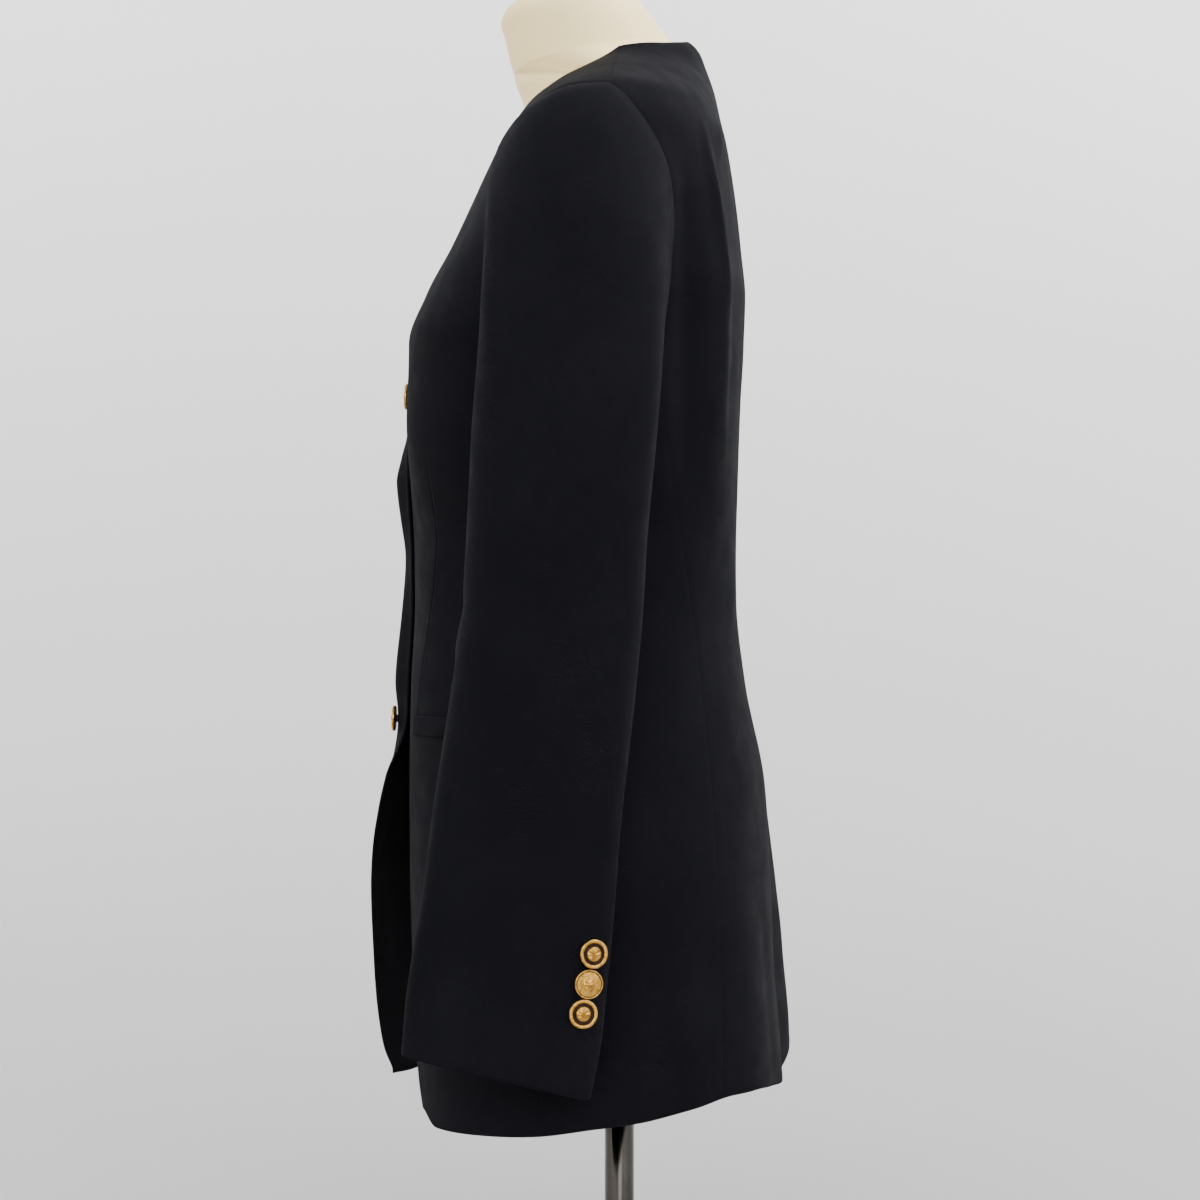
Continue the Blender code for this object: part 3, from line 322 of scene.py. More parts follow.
def padding(turn, h):
    """Fullness of the shoulder towards the upper half of the armhole."""
    out = np.zeros(turn.shape)
    near = (h > 0.19) & (turn > 0.35) & (turn < 2.65)
    if near.any():
        around = np.arange(-110.0, 110.0, 0.5) % 360
        hole = armhole(around)
        line = body(hole[:, 0], hole[:, 1])
        share = ease((np.cos(np.radians(around)) + 0.15) / 0.75)
        at = body(turn[near], h[near])
        far = ((at[:, None] - line[None]) ** 2).sum(-1)
        k = far.argmin(axis=1)
        reach = np.sqrt(far[np.arange(len(k)), k] + 0.0012 ** 2) - 0.0012
        out[near] = PADDING * share[k] * np.exp(-reach / PADDING_WIDTH)
    return out


def turn_at_x(x, h):
    """Turn on the front half of the ring at height h where it reaches x."""
    half, n = smooth(BODY, h, 1), smooth(BODY, h, 5)
    q = np.clip(np.abs(x) / half, 0.0, 1.0)
    t = q / np.maximum(1 - q ** n, 1e-12) ** (1 / n)
    return np.sign(x) * np.arctan(t)


def turn_at_y(y, h):
    """Turn on the ring at height h where it reaches y."""
    front, back, mid = (smooth(BODY, h, c) for c in (2, 3, 4))
    ahead = y < mid
    n = np.where(ahead, smooth(BODY, h, 5), smooth(BODY, h, 6))
    depth = np.where(ahead, mid - front, back - mid)
    p = np.clip(np.abs(mid - y) / depth, 1e-9, 1.0)
    t = np.arctan(np.maximum(p ** -n - 1, 0.0) ** (1 / n))
    return np.where(ahead, t, math.pi - t)


def body(turn, h, side=1, lift=None, worn=False):
    """Point of the blazer's outer face; lift(turn, h) moves it outwards."""
    turn, h = np.broadcast_arrays(np.asarray(turn, float), np.asarray(h, float))
    half, front, back, mid, nf, nb = (smooth(BODY, h, c) for c in range(1, 7))
    s, c = np.sin(turn), np.cos(turn)
    n = np.where(c > 0, nf, nb)
    depth = np.where(c > 0, mid - front, back - mid)
    rho = (np.abs(s) ** n + np.abs(c) ** n) ** (1 / n)
    x, y = half * s / rho, mid - depth * c / rho
    gx = np.sign(s) * np.abs(s / rho) ** (n - 1) / half
    gy = -np.sign(c) * np.abs(c / rho) ** (n - 1) / depth
    out = drape(turn, h)
    if lift is not None:
        out = out + lift(turn, h)
    if worn:
        out = out + soft(turn, h, side)
    size = np.hypot(gx, gy)
    return np.stack([side * (x + out * gx / size), y + out * gy / size, h + WAIST], axis=-1)


def drape(turn, h):
    """Large soft folds that both halves share."""
    out = np.zeros_like(turn)
    for centre, spread, top, bottom, depth in DRAPE:
        across = np.exp(-((np.degrees(turn) - centre) / spread) ** 2)
        t = np.clip((h - bottom) / (top - bottom), 0.0, 1.0)
        out = out + depth * across * np.sin(math.pi * t) ** 1.5
    return out


def lap_lift(turn, h):
    """Right front: its free edge lies on the left one, and swings open below the buttons."""
    edge = turn_at_x(smooth(FRONT_EDGE + NECKLINE[1:], h), h)
    reach = np.radians(smooth(LAP_REACH, h))
    t = np.clip((reach - turn) / np.maximum(reach - edge, 1e-3), 0.0, 1.3)
    closed = ease((h - CLOSED_FOOT) / CLOSED_RISE)
    lift = smooth(LAP, h) * (closed * ease(t) + (1 - closed) * t ** 1.7)
    past = closed * ease(-turn / np.maximum(-edge, 1e-3)) * (edge < -0.01)
    return lift + (np.minimum(lift, LAID_EDGE) - lift) * past


def flare_lift(turn, h):
    """Right back: stands out beside the vent, most at the crest."""
    t, start, crest = np.degrees(turn), 112.0, 160.0
    shape = np.where(t > crest, 1 - 1.15 * ease((t - crest) / (180.0 - crest)),
                     ease((t - start) / (crest - start)))
    return smooth(VENT_FLARE, h) * shape


def skin(point, a, b):
    """Outward unit normals of point(a, b) by central differences."""
    ea, eb = 0.02, 0.001
    da = point(a + ea, b) - point(a - ea, b)
    db = point(a, b + eb) - point(a, b - eb)
    return unit(np.cross(da, db))


def blend(bottom, top, left, right, u, v):
    """Transfinite patch between four edges at shares u, one row or (nv, nu), and v."""
    u, v = np.atleast_2d(u)[..., None], v[:, None, None]
    left, right = left[:, None], right[:, None]
    return ((1 - v) * bottom + v * top + (1 - u) * left + u * right
            - (1 - u) * (1 - v) * left[:1] - u * (1 - v) * right[:1]
            - (1 - u) * v * left[-1:] - u * v * right[-1:])


def settle(grid, u, v):
    """Inner points moved where an even patch between the grid's edges in space
    comes closest to the body, then spaced evenly."""
    edge = body(grid[..., 0], grid[..., 1])
    aim = blend(edge[0], edge[-1], edge[:, 0], edge[:, -1], u, v)[1:-1, 1:-1]
    turn, h = grid[1:-1, 1:-1, 0].copy(), grid[1:-1, 1:-1, 1].copy()
    for _ in range(26):
        miss = aim - body(turn, h)
        da = (body(turn + 1e-3, h) - body(turn - 1e-3, h)) / 2e-3
        db = (body(turn, h + 1e-4) - body(turn, h - 1e-4)) / 2e-4
        aa, ab, bb = (da * da).sum(-1), (da * db).sum(-1), (db * db).sum(-1)
        ra, rb = (da * miss).sum(-1), (db * miss).sum(-1)
        det = np.maximum(aa * bb - ab * ab, 1e-9)
        turn = turn + np.clip(0.7 * (ra * bb - rb * ab) / det, -0.08, 0.08)
        h = h + np.clip(0.7 * (rb * aa - ra * ab) / det, -0.006, 0.006)
    grid = grid.copy()
    grid[1:-1, 1:-1, 0], grid[1:-1, 1:-1, 1] = turn, h
    for _ in range(3):
        grid = respace(respace(grid, u).swapaxes(0, 1), v).swapaxes(0, 1)
    return grid


def respace(grid, across):
    """Points moved along their columns, so that the shares of the length pass evenly
    from those of the first column to those of the last."""
    run = arc(body(grid[..., 0], grid[..., 1]), 0)
    share = run / run[-1]
    grid = grid.copy()
    for j in range(1, grid.shape[1] - 1):
        aim = (1 - across[j]) * share[:, 0] + across[j] * share[:, -1]
        for c in (0, 1):
            grid[:, j, c] = np.interp(aim, share[:, j], grid[:, j, c])
    return grid


def pairs(turn, h):
    turn, h = np.broadcast_arrays(np.asarray(turn, float), np.asarray(h, float))
    return np.stack([turn, h], axis=-1)


def shift(turn, h, by):
    """Turn moved along the ring by a distance."""
    here, there = body(turn, h), body(turn + 1e-3, h)
    return turn + by * 1e-3 / np.linalg.norm(there - here, axis=-1)


def armhole(turn_deg):
    """(turn, height) on the body of a point of the armhole."""
    h = smooth(ARMHOLE, np.mod(turn_deg, 360.0001), 2)
    y = smooth(ARMHOLE, np.mod(turn_deg, 360.0001), 1)
    return pairs(turn_at_y(y, h), h)


def hem(turn):
    return smooth(HEM, np.degrees(turn))


# ---------------------------------------------------------------- materials
def shader(name, colour, metallic, roughness, **sockets):
    """Principled material with constant sockets; returns it, its tree, its shader
    and the place on the object."""
    mat = bpy.data.materials.new(name)
    mat.use_nodes = True
    tree = mat.node_tree
    bsdf = tree.nodes["Principled BSDF"]
    bsdf.inputs["Base Color"].default_value = (*colour, 1.0)
    bsdf.inputs["Metallic"].default_value = metallic
    bsdf.inputs["Roughness"].default_value = roughness
    for key, value in sockets.items():
        bsdf.inputs[key.replace("_", " ")].default_value = value
    return mat, tree, bsdf, node(tree, "TexCoord").outputs["Object"]


def node(tree, kind, **values):
    """Node of a kind with inputs and properties set by name."""
    made = tree.nodes.new("ShaderNode" + kind)
    for key, value in values.items():
        if key in made.inputs:
            made.inputs[key].default_value = value
        else:
            setattr(made, key, value)
    return made


def noise(tree, source, scale, detail=3.0):
    made = node(tree, "TexNoise", Scale=scale, Detail=detail, Roughness=0.55)
    tree.links.new(source, made.inputs["Vector"])
    return made.outputs["Fac"]


def span(tree, source, low, high, lo=0.3, hi=0.7):
    """Value carried from lo..hi to low..high."""
    made = node(tree, "MapRange")
    for key, value in (("From Min", lo), ("From Max", hi), ("To Min", low), ("To Max", high)):
        made.inputs[key].default_value = value
    tree.links.new(source, made.inputs["Value"])
    return made.outputs["Result"]


def tint(tree, bsdf, source, first, second, lo=0.3, hi=0.7):
    """Base colour between two by a value."""
    made = node(tree, "ValToRGB")
    made.color_ramp.elements[0].position, made.color_ramp.elements[1].position = lo, hi
    made.color_ramp.elements[0].color = (*first, 1.0)
    made.color_ramp.elements[1].color = (*second, 1.0)
    tree.links.new(source, made.inputs["Fac"])
    tree.links.new(made.outputs["Color"], bsdf.inputs["Base Color"])


def polish(tree, bsdf, source, low, high):
    """Roughness between two by a value."""
    tree.links.new(span(tree, source, low, high), bsdf.inputs["Roughness"])


def add(tree, first, second, share):
    """first + share * second."""
    made = node(tree, "Math", operation="MULTIPLY_ADD")
    tree.links.new(second, made.inputs[0])
    made.inputs[1].default_value = share
    tree.links.new(first, made.inputs[2])
    return made.outputs[0]


def bump(tree, bsdf, height, distance, strength):
    made = node(tree, "Bump", Strength=strength, Distance=distance)
    tree.links.new(height, made.inputs["Height"])
    tree.links.new(made.outputs["Normal"], bsdf.inputs["Normal"])


def stretched(tree, source, scale, turn=0.0):
    made = node(tree, "Mapping")
    made.inputs["Scale"].default_value = scale
    made.inputs["Rotation"].default_value = (0, 0, turn)
    tree.links.new(source, made.inputs["Vector"])
    return made.outputs["Vector"]


def cloth_material():
    """Black wool crepe: pebbled weave on a fine diagonal, slow tone, faint nap."""
    mat, tree, bsdf, where = shader("black_crepe", (0.0052, 0.0052, 0.0068), 0.0, 0.72,
                                    Sheen_Weight=0.009, Sheen_Roughness=0.40,
                                    Sheen_Tint=(0.90, 0.92, 1.0, 1.0), Specular_IOR_Level=0.012)
    uv = node(tree, "TexCoord").outputs["UV"]

    def ribs(direction, distortion, detail, scale, turn):
        made = node(tree, "TexWave", Scale=1.0, Distortion=distortion, Detail=detail,
                    bands_direction=direction)
        tree.links.new(stretched(tree, uv, (scale, scale, 1.0), turn), made.inputs["Vector"])
        return made.outputs["Fac"]
    pebble = noise(tree, stretched(tree, uv, (1500.0, 1150.0, 1.0)), 1.0, 2.0)
    slub = noise(tree, stretched(tree, uv, (110.0, 900.0, 1.0)), 1.0, 2.0)
    height = add(tree, pebble, ribs("X", 1.6, 1.5, 260.0, 1.02), 0.40)
    height = add(tree, height, ribs("Y", 1.2, 1.0, 300.0, 0.06), 0.25)
    height = add(tree, height, slub, 0.35)
    height = add(tree, height, noise(tree, where, 34.0, 2.0), 1.4)
    bump(tree, bsdf, height, 0.00022, 0.55)
    tone = add(tree, noise(tree, where, 9.0, 4.0), pebble, 0.35)
    tint(tree, bsdf, tone, (0.0043, 0.0043, 0.0056), (0.0062, 0.0062, 0.0080), 0.40, 0.85)
    polish(tree, bsdf, noise(tree, where, 55.0, 3.0), 0.64, 0.80)
    return mat


def lining_material():
    """Black satin lining on the inside of the cloth."""
    mat, tree, bsdf, where = shader("satin_lining", (0.0062, 0.0058, 0.0058), 0.0, 0.48,
                                    Sheen_Weight=0.004, Specular_IOR_Level=0.035)
    cloud = noise(tree, where, 9.0, 4.0)
    ribs = noise(tree, stretched(tree, where, (2600.0, 2600.0, 160.0)), 1.0, 1.0)
    tint(tree, bsdf, add(tree, cloud, ribs, 0.3), (0.0050, 0.0046, 0.0046), (0.0076, 0.0070, 0.0070))
    polish(tree, bsdf, cloud, 0.42, 0.56)
    bump(tree, bsdf, ribs, 0.00004, 0.3)
    return mat


def thread_material():
    """Black sewing thread, a little brighter than the cloth."""
    mat, tree, bsdf, where = shader("black_thread", (0.010, 0.010, 0.013), 0.0, 0.50,
                                    Sheen_Weight=0.02, Sheen_Roughness=0.4, Specular_IOR_Level=0.08)
    twist = noise(tree, where, 2600.0, 1.0)
    bump(tree, bsdf, twist, 0.00008, 0.6)
    tint(tree, bsdf, twist, (0.008, 0.008, 0.010), (0.017, 0.017, 0.021))
    return mat


def gold_material(name, low, high, rough, metallic=1.0):
    """Antique gilt metal: uneven colour, fine wear and polish."""
    mat, tree, bsdf, where = shader(name, high, metallic, rough, Specular_IOR_Level=0.5)
    cloud = noise(tree, where, 420.0, 4.0)
    grain = noise(tree, where, 3200.0, 2.0)
    tint(tree, bsdf, cloud, low, high, 0.35, 0.62)
    polish(tree, bsdf, grain, rough - 0.08, rough + 0.14)
    bump(tree, bsdf, add(tree, cloud, grain, 0.5), 0.00004, 0.35)
    return mat


def cream_material():
    """Smooth cream covering of the form, with a very fine knit."""
    mat, tree, bsdf, where = shader("cream_cover", (0.94, 0.75, 0.38), 0.0, 0.62,
                                    Sheen_Weight=0.04, Sheen_Roughness=0.5, Specular_IOR_Level=0.22)
    cloud = noise(tree, where, 7.0, 4.0)
    knit = noise(tree, stretched(tree, where, (900.0, 900.0, 2200.0)), 1.0, 1.0)
    tint(tree, bsdf, add(tree, cloud, knit, 0.12), (0.90, 0.70, 0.33), (0.97, 0.80, 0.43), 0.35, 0.75)
    polish(tree, bsdf, noise(tree, where, 30.0), 0.55, 0.70)
    bump(tree, bsdf, knit, 0.00012, 0.35)
    return mat


def chrome_material():
    """Polished chrome, faintly brushed along the tube."""
    mat, tree, bsdf, where = shader("polished_chrome", (0.042, 0.038, 0.033), 1.0, 0.10)
    brush = noise(tree, stretched(tree, where, (900.0, 900.0, 14.0)), 1.0, 2.0)
    smudge = noise(tree, where, 16.0, 4.0)
    polish(tree, bsdf, smudge, 0.06, 0.17)
    tint(tree, bsdf, smudge, (0.034, 0.031, 0.026), (0.052, 0.048, 0.042))
    bump(tree, bsdf, brush, 0.00003, 0.15)
    return mat


def backdrop_material():
    """Pale matte sweep, painted lighter towards its top: a painted gradient of light."""
    mat, tree, bsdf, where = shader("pale_sweep_painted_light", (0.72, 0.71, 0.71), 0.0, 0.9, Specular_IOR_Level=0.1)
    height = node(tree, "SeparateXYZ")
    tree.links.new(where, height.inputs[0])
    # painted light: the colour is darker at the floor and lighter up to 2.6 m, where lamps would light
    # the sweep more
    rise = span(tree, height.outputs["Z"], 0.0, 1.0, 0.0, 2.6)
    rise = add(tree, rise, noise(tree, where, 1.2, 3.0), 0.04)
    tint(tree, bsdf, rise, (0.54, 0.525, 0.52), (0.93, 0.925, 0.93), 0.0, 1.0)
    return mat


CLOTH_MAT = cloth_material()
LINING_MAT = lining_material()
THREAD_MAT = thread_material()
GOLD_MAT = gold_material("antique_gold", (0.32, 0.158, 0.026), (0.62, 0.350, 0.070), 0.26)
DARK_MAT = gold_material("gold_recess", (0.010, 0.005, 0.002), (0.036, 0.016, 0.005), 0.45, 0.7)
CREAM_MAT = cream_material()
CHROME_MAT = chrome_material()


# ---------------------------------------------------------------- meshes
def make(name, verts, faces, mats, uv=None, face_mat=None):
    """Mesh object; an array of quads is turned outwards. uv holds one pair for each
    vertex, face_mat the material's index of each face."""
    verts = np.asarray(verts, float)
    if isinstance(faces, np.ndarray):
        a, b, c, d = (verts[faces[:, i]] for i in range(4))
        if np.einsum("ij,ij->i", a, np.cross(b, c) + np.cross(c, d)).sum() < 0:
            faces = faces[:, ::-1]
        faces = faces.tolist()
    mesh = bpy.data.meshes.new(name)
    mesh.from_pydata(verts.tolist(), [], faces)
    for mat in mats:
        mesh.materials.append(mat)
    mesh.polygons.foreach_set("use_smooth", [True] * len(mesh.polygons))
    if face_mat is not None:
        mesh.polygons.foreach_set("material_index", np.asarray(face_mat, np.int32))
    if uv is not None:
        layer = mesh.uv_layers.new(name="cloth")
        index = np.empty(len(mesh.loops), np.int32)
        mesh.loops.foreach_get("vertex_index", index)
        layer.data.foreach_set("uv", np.asarray(uv, np.float32)[index].ravel())
    mesh.update()
    ob = bpy.data.objects.new(name, mesh)
    bpy.context.scene.collection.objects.link(ob)
    return ob


# Distances of the points beside an edge and about a mark.
EDGE_STEPS = [0.0, 0.00010, 0.00035, 0.00100, 0.0022, 0.0042]
MARK_STEPS = [-0.0026, -0.0012, -0.0006, 0.0, 0.0006, 0.0012, 0.0026]


def steps(length, pitch=PITCH, start=True, end=True, marks=()):
    """Shares 0 to 1 along a line about as long as length: close at its edges and at
    marks, pitch apart between."""
    lead = EDGE_STEPS if start else [0.0]
    tail = EDGE_STEPS if end else [0.0]
    count = max(2, int(round((length - lead[-1] - tail[-1]) / pitch)))
    at = np.concatenate([lead[:-1], np.linspace(lead[-1], length - tail[-1], count + 1),
                         length - np.array(tail[:-1])[::-1]]) / length
    for mark in marks:
        near = np.array(MARK_STEPS) / length + mark
        at = np.concatenate([at[np.abs(at - mark) > 0.0030 / length], near])
    return np.unique(np.round(at, 7))


def arc(face, axis):
    """Length run along each line of points of an axis, from 0."""
    run = np.linalg.norm(np.diff(face, axis=axis), axis=-1).cumsum(axis=axis)
    return np.concatenate([np.zeros_like(np.take(run, [0], axis=axis)), run], axis=axis)


# Sides of a grid of points: axis, index.
SIDES = {"bottom": (0, 0), "top": (0, -1), "start": (1, 0), "end": (1, -1)}
SEWN_EDGE = 0.00035     # how far a sewn edge rounds over; a free one takes half the wall
SEAM_RISE, RISE_AT, RISE_SPREAD = 0.00022, 0.0052, 0.0034      # of the seam allowance


def shell(name, face, out, sewn=None, thick=CLOTH, seam=SEAM_RISE, faced=0.0):
    """Thin closed shell under an outer face (nv, nu, 3), with round edges and the
    slight rise of the seam allowance beside them. sewn names the sides that are
    sewn, each with True or a mask along it. The inside is lining, but for a facing
    of the cloth along the start side."""
    nv, nu = face.shape[:2]
    r = thick / 2
    sink, near = np.zeros((nv, nu)), np.full((nv, nu), 1.0)
    for side, (axis, index) in SIDES.items():
        d = np.linalg.norm(face - np.take(face, [index], axis=axis), axis=-1)
        mask = np.asarray((sewn or {}).get(side, False))
        mask = mask if mask.ndim == 0 else (mask[None, :] if axis == 0 else mask[:, None])
        t = np.clip(1 - d / np.where(mask, SEWN_EDGE, r), 0, 1)
        sink = np.maximum(sink, r * (1 - np.sqrt(np.clip(1 - t * t, 0, 1))))
        near = np.minimum(near, d)
    sink = sink[..., None]
    rise = seam * np.exp(-((near - RISE_AT) / RISE_SPREAD) ** 2)[..., None]
    outer = face - out * (sink - rise)
    inner = face - out * (thick - sink)
    index = np.arange(nv * nu).reshape(nv, nu)
    under = index.copy()
    under[1:-1, 1:-1] = nv * nu + np.arange((nv - 2) * (nu - 2)).reshape(nv - 2, nu - 2)
    quads = []
    for grid, turn in ((index, 1), (under, -1)):
        q = np.stack([grid[:-1, :-1], grid[:-1, 1:], grid[1:, 1:], grid[1:, :-1]], axis=-1)
        quads.append(q.reshape(-1, 4)[:, ::turn])
    verts = np.concatenate([outer.reshape(-1, 3), inner[1:-1, 1:-1].reshape(-1, 3)])
    across = arc(face, 1)
    lined = (across[:-1, :-1] >= faced).ravel()
    across = across - across[:, nu // 2][:, None]
    uv = np.stack([across, arc(face, 0)], axis=-1)
    uv = np.concatenate([uv.reshape(-1, 2), uv[1:-1, 1:-1].reshape(-1, 2) + 0.37])
    kinds = np.concatenate([np.zeros(len(lined), int), lined])
    return make(name, verts, np.concatenate(quads), [CLOTH_MAT, LINING_MAT], uv, kinds)


def wrap(rings, base=0):
    """Faces between rings of vertices numbered on from base, ring by ring; a ring of
    one vertex closes to a point. Returns a list for each pair of rings."""
    spans = []
    for low, high in zip(rings, rings[1:]):
        count, top = max(len(low), len(high)), base + len(low)
        faces = []
        for k in range(count):
            m = (k + 1) % count
            if len(low) == 1:
                faces.append((base, top + m, top + k))
            elif len(high) == 1:
                faces.append((base + k, base + m, top))
            else:
                faces.append((base + k, base + m, top + m, top + k))
        spans.append(faces)
        base = top
    return spans


def turned(name, profile, centre, axis, count, mats, relief=None, dark=()):
    """Solid of revolution through (radius, height) rows, closed at the axis.
    relief(r, angle) adds height; dark holds the profile spans of the second material."""
    axis = unit(np.asarray(axis, float))
    p = unit(np.cross((0.0, 0.0, 1.0) if abs(axis[2]) < 0.9 else (1.0, 0.0, 0.0), axis))
    q = np.cross(axis, p)
    rings = []
    for radius, height in profile:
        ring = []
        for k in range(1 if radius < 1e-9 else count):
            a = 2 * math.pi * k / count
            lift = relief(radius, a) if relief else 0.0
            ring.append(np.asarray(centre) + radius * (math.cos(a) * p + math.sin(a) * q)
                        + (height + lift) * axis)
        rings.append(ring)
    spans = wrap(rings)
    kinds = [int(j in dark) for j, faces in enumerate(spans) for _ in faces]
    return make(name, np.concatenate(rings), sum(spans, []), mats, face_mat=kinds)


def tubes(name, paths, radius, sides=6):
    """One mesh of round threads along short paths (n, 3)."""
    verts, faces = [], []
    for path in paths:
        path = np.asarray(path, float)
        along = unit(np.gradient(path, axis=0))
        first = unit(np.cross(along, (0.31, 0.52, 0.79)))
        second = np.cross(along, first)
        base, last = len(verts), len(verts) + (len(path) - 1) * sides
        for i in range(len(path)):
            r = radius * (0.45 if i in (0, len(path) - 1) else 1.0)
            for k in range(sides):
                a = 2 * math.pi * k / sides
                verts.append(path[i] + r * (math.cos(a) * first[i] + math.sin(a) * second[i]))
        faces += sum(wrap([range(sides)] * len(path), base), [])
        faces.append(tuple(base + k for k in reversed(range(sides))))
        faces.append(tuple(last + k for k in range(sides)))
    place(make(name, verts, faces, [THREAD_MAT]), "black_cloth")


def place(ob, slot, *nodes):
    """A piece parented to the fixed body, which hides the CAD nodes it stands for; slot is not used.
    """
    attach(ob, "root")
    if nodes:
        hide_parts(*nodes)


# ---------------------------------------------------------------- body panels
def seam_line(table, turn_deg, foot_h, t, by):
    """Side panel's seam up to the armhole at shares t, moved along the ring by a distance."""
    end = armhole(turn_deg)
    foot = turn_at_y(smooth(table, foot_h), foot_h)
    h = hem(foot) + (end[1] - hem(foot)) * t
    y = smooth(table, h)
    if table is FRONT_SEAM:
        y = y + (smooth(ARMHOLE, turn_deg) - smooth(table, end[1])) * ease((h - 0.05) / 0.085)
    line = pairs(shift(turn_at_y(y, h), h, by), h)
    line[-1] = (shift(end[0], end[1], by), end[1])
    return line


def foot_line(left, right, u, rise=0.0):
    """Hem between the feet of two seams; it rises by rise beside the vent."""
    turn = left[0, 0] + (right[0, 0] - left[0, 0]) * u
    line = pairs(turn, hem(turn) + rise * np.exp(-((np.degrees(turn) - 158.0) / 10.0) ** 2))
    line[0, 1], line[-1, 1] = left[0, 1], right[0, 1]
    return line


def front_grid(point=0.0):
    """Front: (turn, height) grid whose columns follow the dart below the bust; its
    tip hangs lower by point."""
    t = steps(0.475, end=False)
    u0 = steps(0.205, marks=(0.5,))
    low = FRONT_EDGE[0][0] - point
    h = low + (UNDERARM - low) * t
    left = pairs(turn_at_x(smooth(FRONT_EDGE, h), h), h)
    right = seam_line(FRONT_SEAM, FRONT_SEAM_TURN, FRONT_SEAM_FOOT, t, -GAP / 2)
    at = np.clip(h, DART[0][0], DART[-1][0])
    dart = (turn_at_x(smooth(DART, at), at) - left[:, 0]) / (right[:, 0] - left[:, 0])
    dart = np.where(h < DART[0][0], np.interp(DART[0][0], h, dart), dart)
    dart = np.where(h > DART[-1][0], np.interp(DART[-1][0], h, dart), dart)[:, None]
    u = np.where(u0 < 0.5, u0 / 0.5 * dart, dart + (u0 - 0.5) / 0.5 * (1 - dart))
    turn = left[0, 0] + (right[0, 0] - left[0, 0]) * u
    drop = hem(turn) + (left[0, 1] - hem(left[0, 0])) * (1 - ease(u / 0.22))
    drop = drop + 0.6 * point * np.exp(-((u - 0.17) / 0.07) ** 2)
    middle = left[-1] + (right[-1] - left[-1]) * u[..., None]
    lower = blend(pairs(turn, drop), middle, left, right, u, t)
    u, middle = u[-1], lower[-1]
    t = steps(0.232, start=False)
    h = UNDERARM + (NECKLINE[-1][0] - UNDERARM) * t
    left = pairs(turn_at_x(smooth(NECKLINE, h), h), h)
    right = armhole(FRONT_SEAM_TURN * (1 - t))
    right[0] = middle[-1]
    crest = NECKLINE[-1][0] + (SHOULDER_END - NECKLINE[-1][0]) * u
    top = pairs(shift(SHOULDER, crest, -0.8 * GAP), crest)
    left[0], left[-1], right[-1] = middle[0], top[0], top[-1]
    upper = settle(blend(middle, top, left, right, u, t), u, t)
    return np.concatenate([lower, upper[1:]])


def back_grid(rise=0.0):
    """Back: (turn, height) grid; its hem rises beside the vent by rise."""
    t = steps(0.485, end=False)
    u = steps(0.175)
    left = seam_line(BACK_SEAM, BACK_SEAM_TURN, BACK_SEAM_FOOT, t, GAP / 2)
    h = hem(math.pi) + (BACK_SPLIT - hem(math.pi)) * t
    slack = 0.0035 * ease((VENT_TOP - h) / 0.16)
    right = pairs(shift(np.full(len(t), math.pi), h, -GAP / 2 - slack), h)
    middle = left[-1] + (right[-1] - left[-1]) * u[:, None]
    lower = blend(foot_line(left, right, u, rise), middle, left, right, u, t)
    t = steps(0.215, start=False)
    left = armhole(BACK_SEAM_TURN + (360.0 - BACK_SEAM_TURN) * t)
    left[0] = middle[0]
    h = BACK_SPLIT + (BACK_NECK[-1][1] - BACK_SPLIT) * t
    right = pairs(shift(np.full(len(t), math.pi), h, -GAP / 2), h)
    corner = 0.6        # share of the top edge that the shoulder seam takes
    height = SHOULDER_END + (BACK_NECK[0][1] - SHOULDER_END) * np.clip(u / corner, 0, 1)
    crest = shift(SHOULDER, height, 0.8 * GAP)
    along = np.clip((u - corner) / (1 - corner), 0, 1)
    turn = crest + (right[-1, 0] - crest) * along
    top = pairs(turn, np.where(u <= corner + 1e-9, height, smooth(BACK_NECK, np.degrees(turn))))
    left[-1], right[0] = top[0], middle[-1]
    upper = settle(blend(middle, top, left, right, u, t), u, t)
    return np.concatenate([lower, upper[1:]])


def side_grid():
    """Side panel under the arm."""
    t = steps(0.480)
    u = steps(0.115)
    left = seam_line(FRONT_SEAM, FRONT_SEAM_TURN, FRONT_SEAM_FOOT, t, GAP / 2)
    right = seam_line(BACK_SEAM, BACK_SEAM_TURN, BACK_SEAM_FOOT, t, -GAP / 2)
    top = armhole(FRONT_SEAM_TURN + (BACK_SEAM_TURN - FRONT_SEAM_TURN) * u)
    top[0], top[-1] = left[-1], right[-1]
    return blend(foot_line(left, right, u), top, left, right, u, t)


def dart_groove(turn, h):
    """Sewn dart: a fine groove between soft lips, fading upwards."""
    line = turn_at_x(smooth(DART, h), h)
    off = (turn - line) * 0.13
    fade = ease((DART[-1][0] - h) / 0.05) * (h > DART[0][0] - 0.002) * (h < DART[-1][0])
    return fade * (-0.00055 * np.exp(-(off / 0.0007) ** 2) + 0.00020 * np.exp(-(off / 0.0032) ** 2))


def panel(name, grid, side, sewn, lift, groove, faced):
    """Body panel from its (turn, height) grid; returns it, its face and normals."""
    def point(a, b):
        return body(a, b, side, lift, worn=True)
    turn, h = grid[..., 0], grid[..., 1]
    face = point(turn, h)
    out = side * skin(point, turn, h)
    if groove is not None:
        face = face + out * groove(turn, h)[..., None]
    return shell(name, face, out, sewn, faced=faced), face, out


# ---------------------------------------------------------------- sleeves
def sleeve_ring(turn_deg, h):
    """Point of a sleeve's outer face below the cap."""
    x, y, deep, thick, n, pitch = (smooth(SLEEVE, h, c) for c in range(1, 7))
    a, pitch = np.radians(turn_deg), np.radians(pitch)
    c, s = np.cos(a), np.sin(a)
    rho = (np.abs(c) ** n + np.abs(s) ** n) ** (1 / n)
    fore = deep * s / rho
    return np.stack([x + thick * c / rho, y - fore * np.cos(pitch),
                     h + fore * np.sin(pitch) + WAIST], axis=-1)


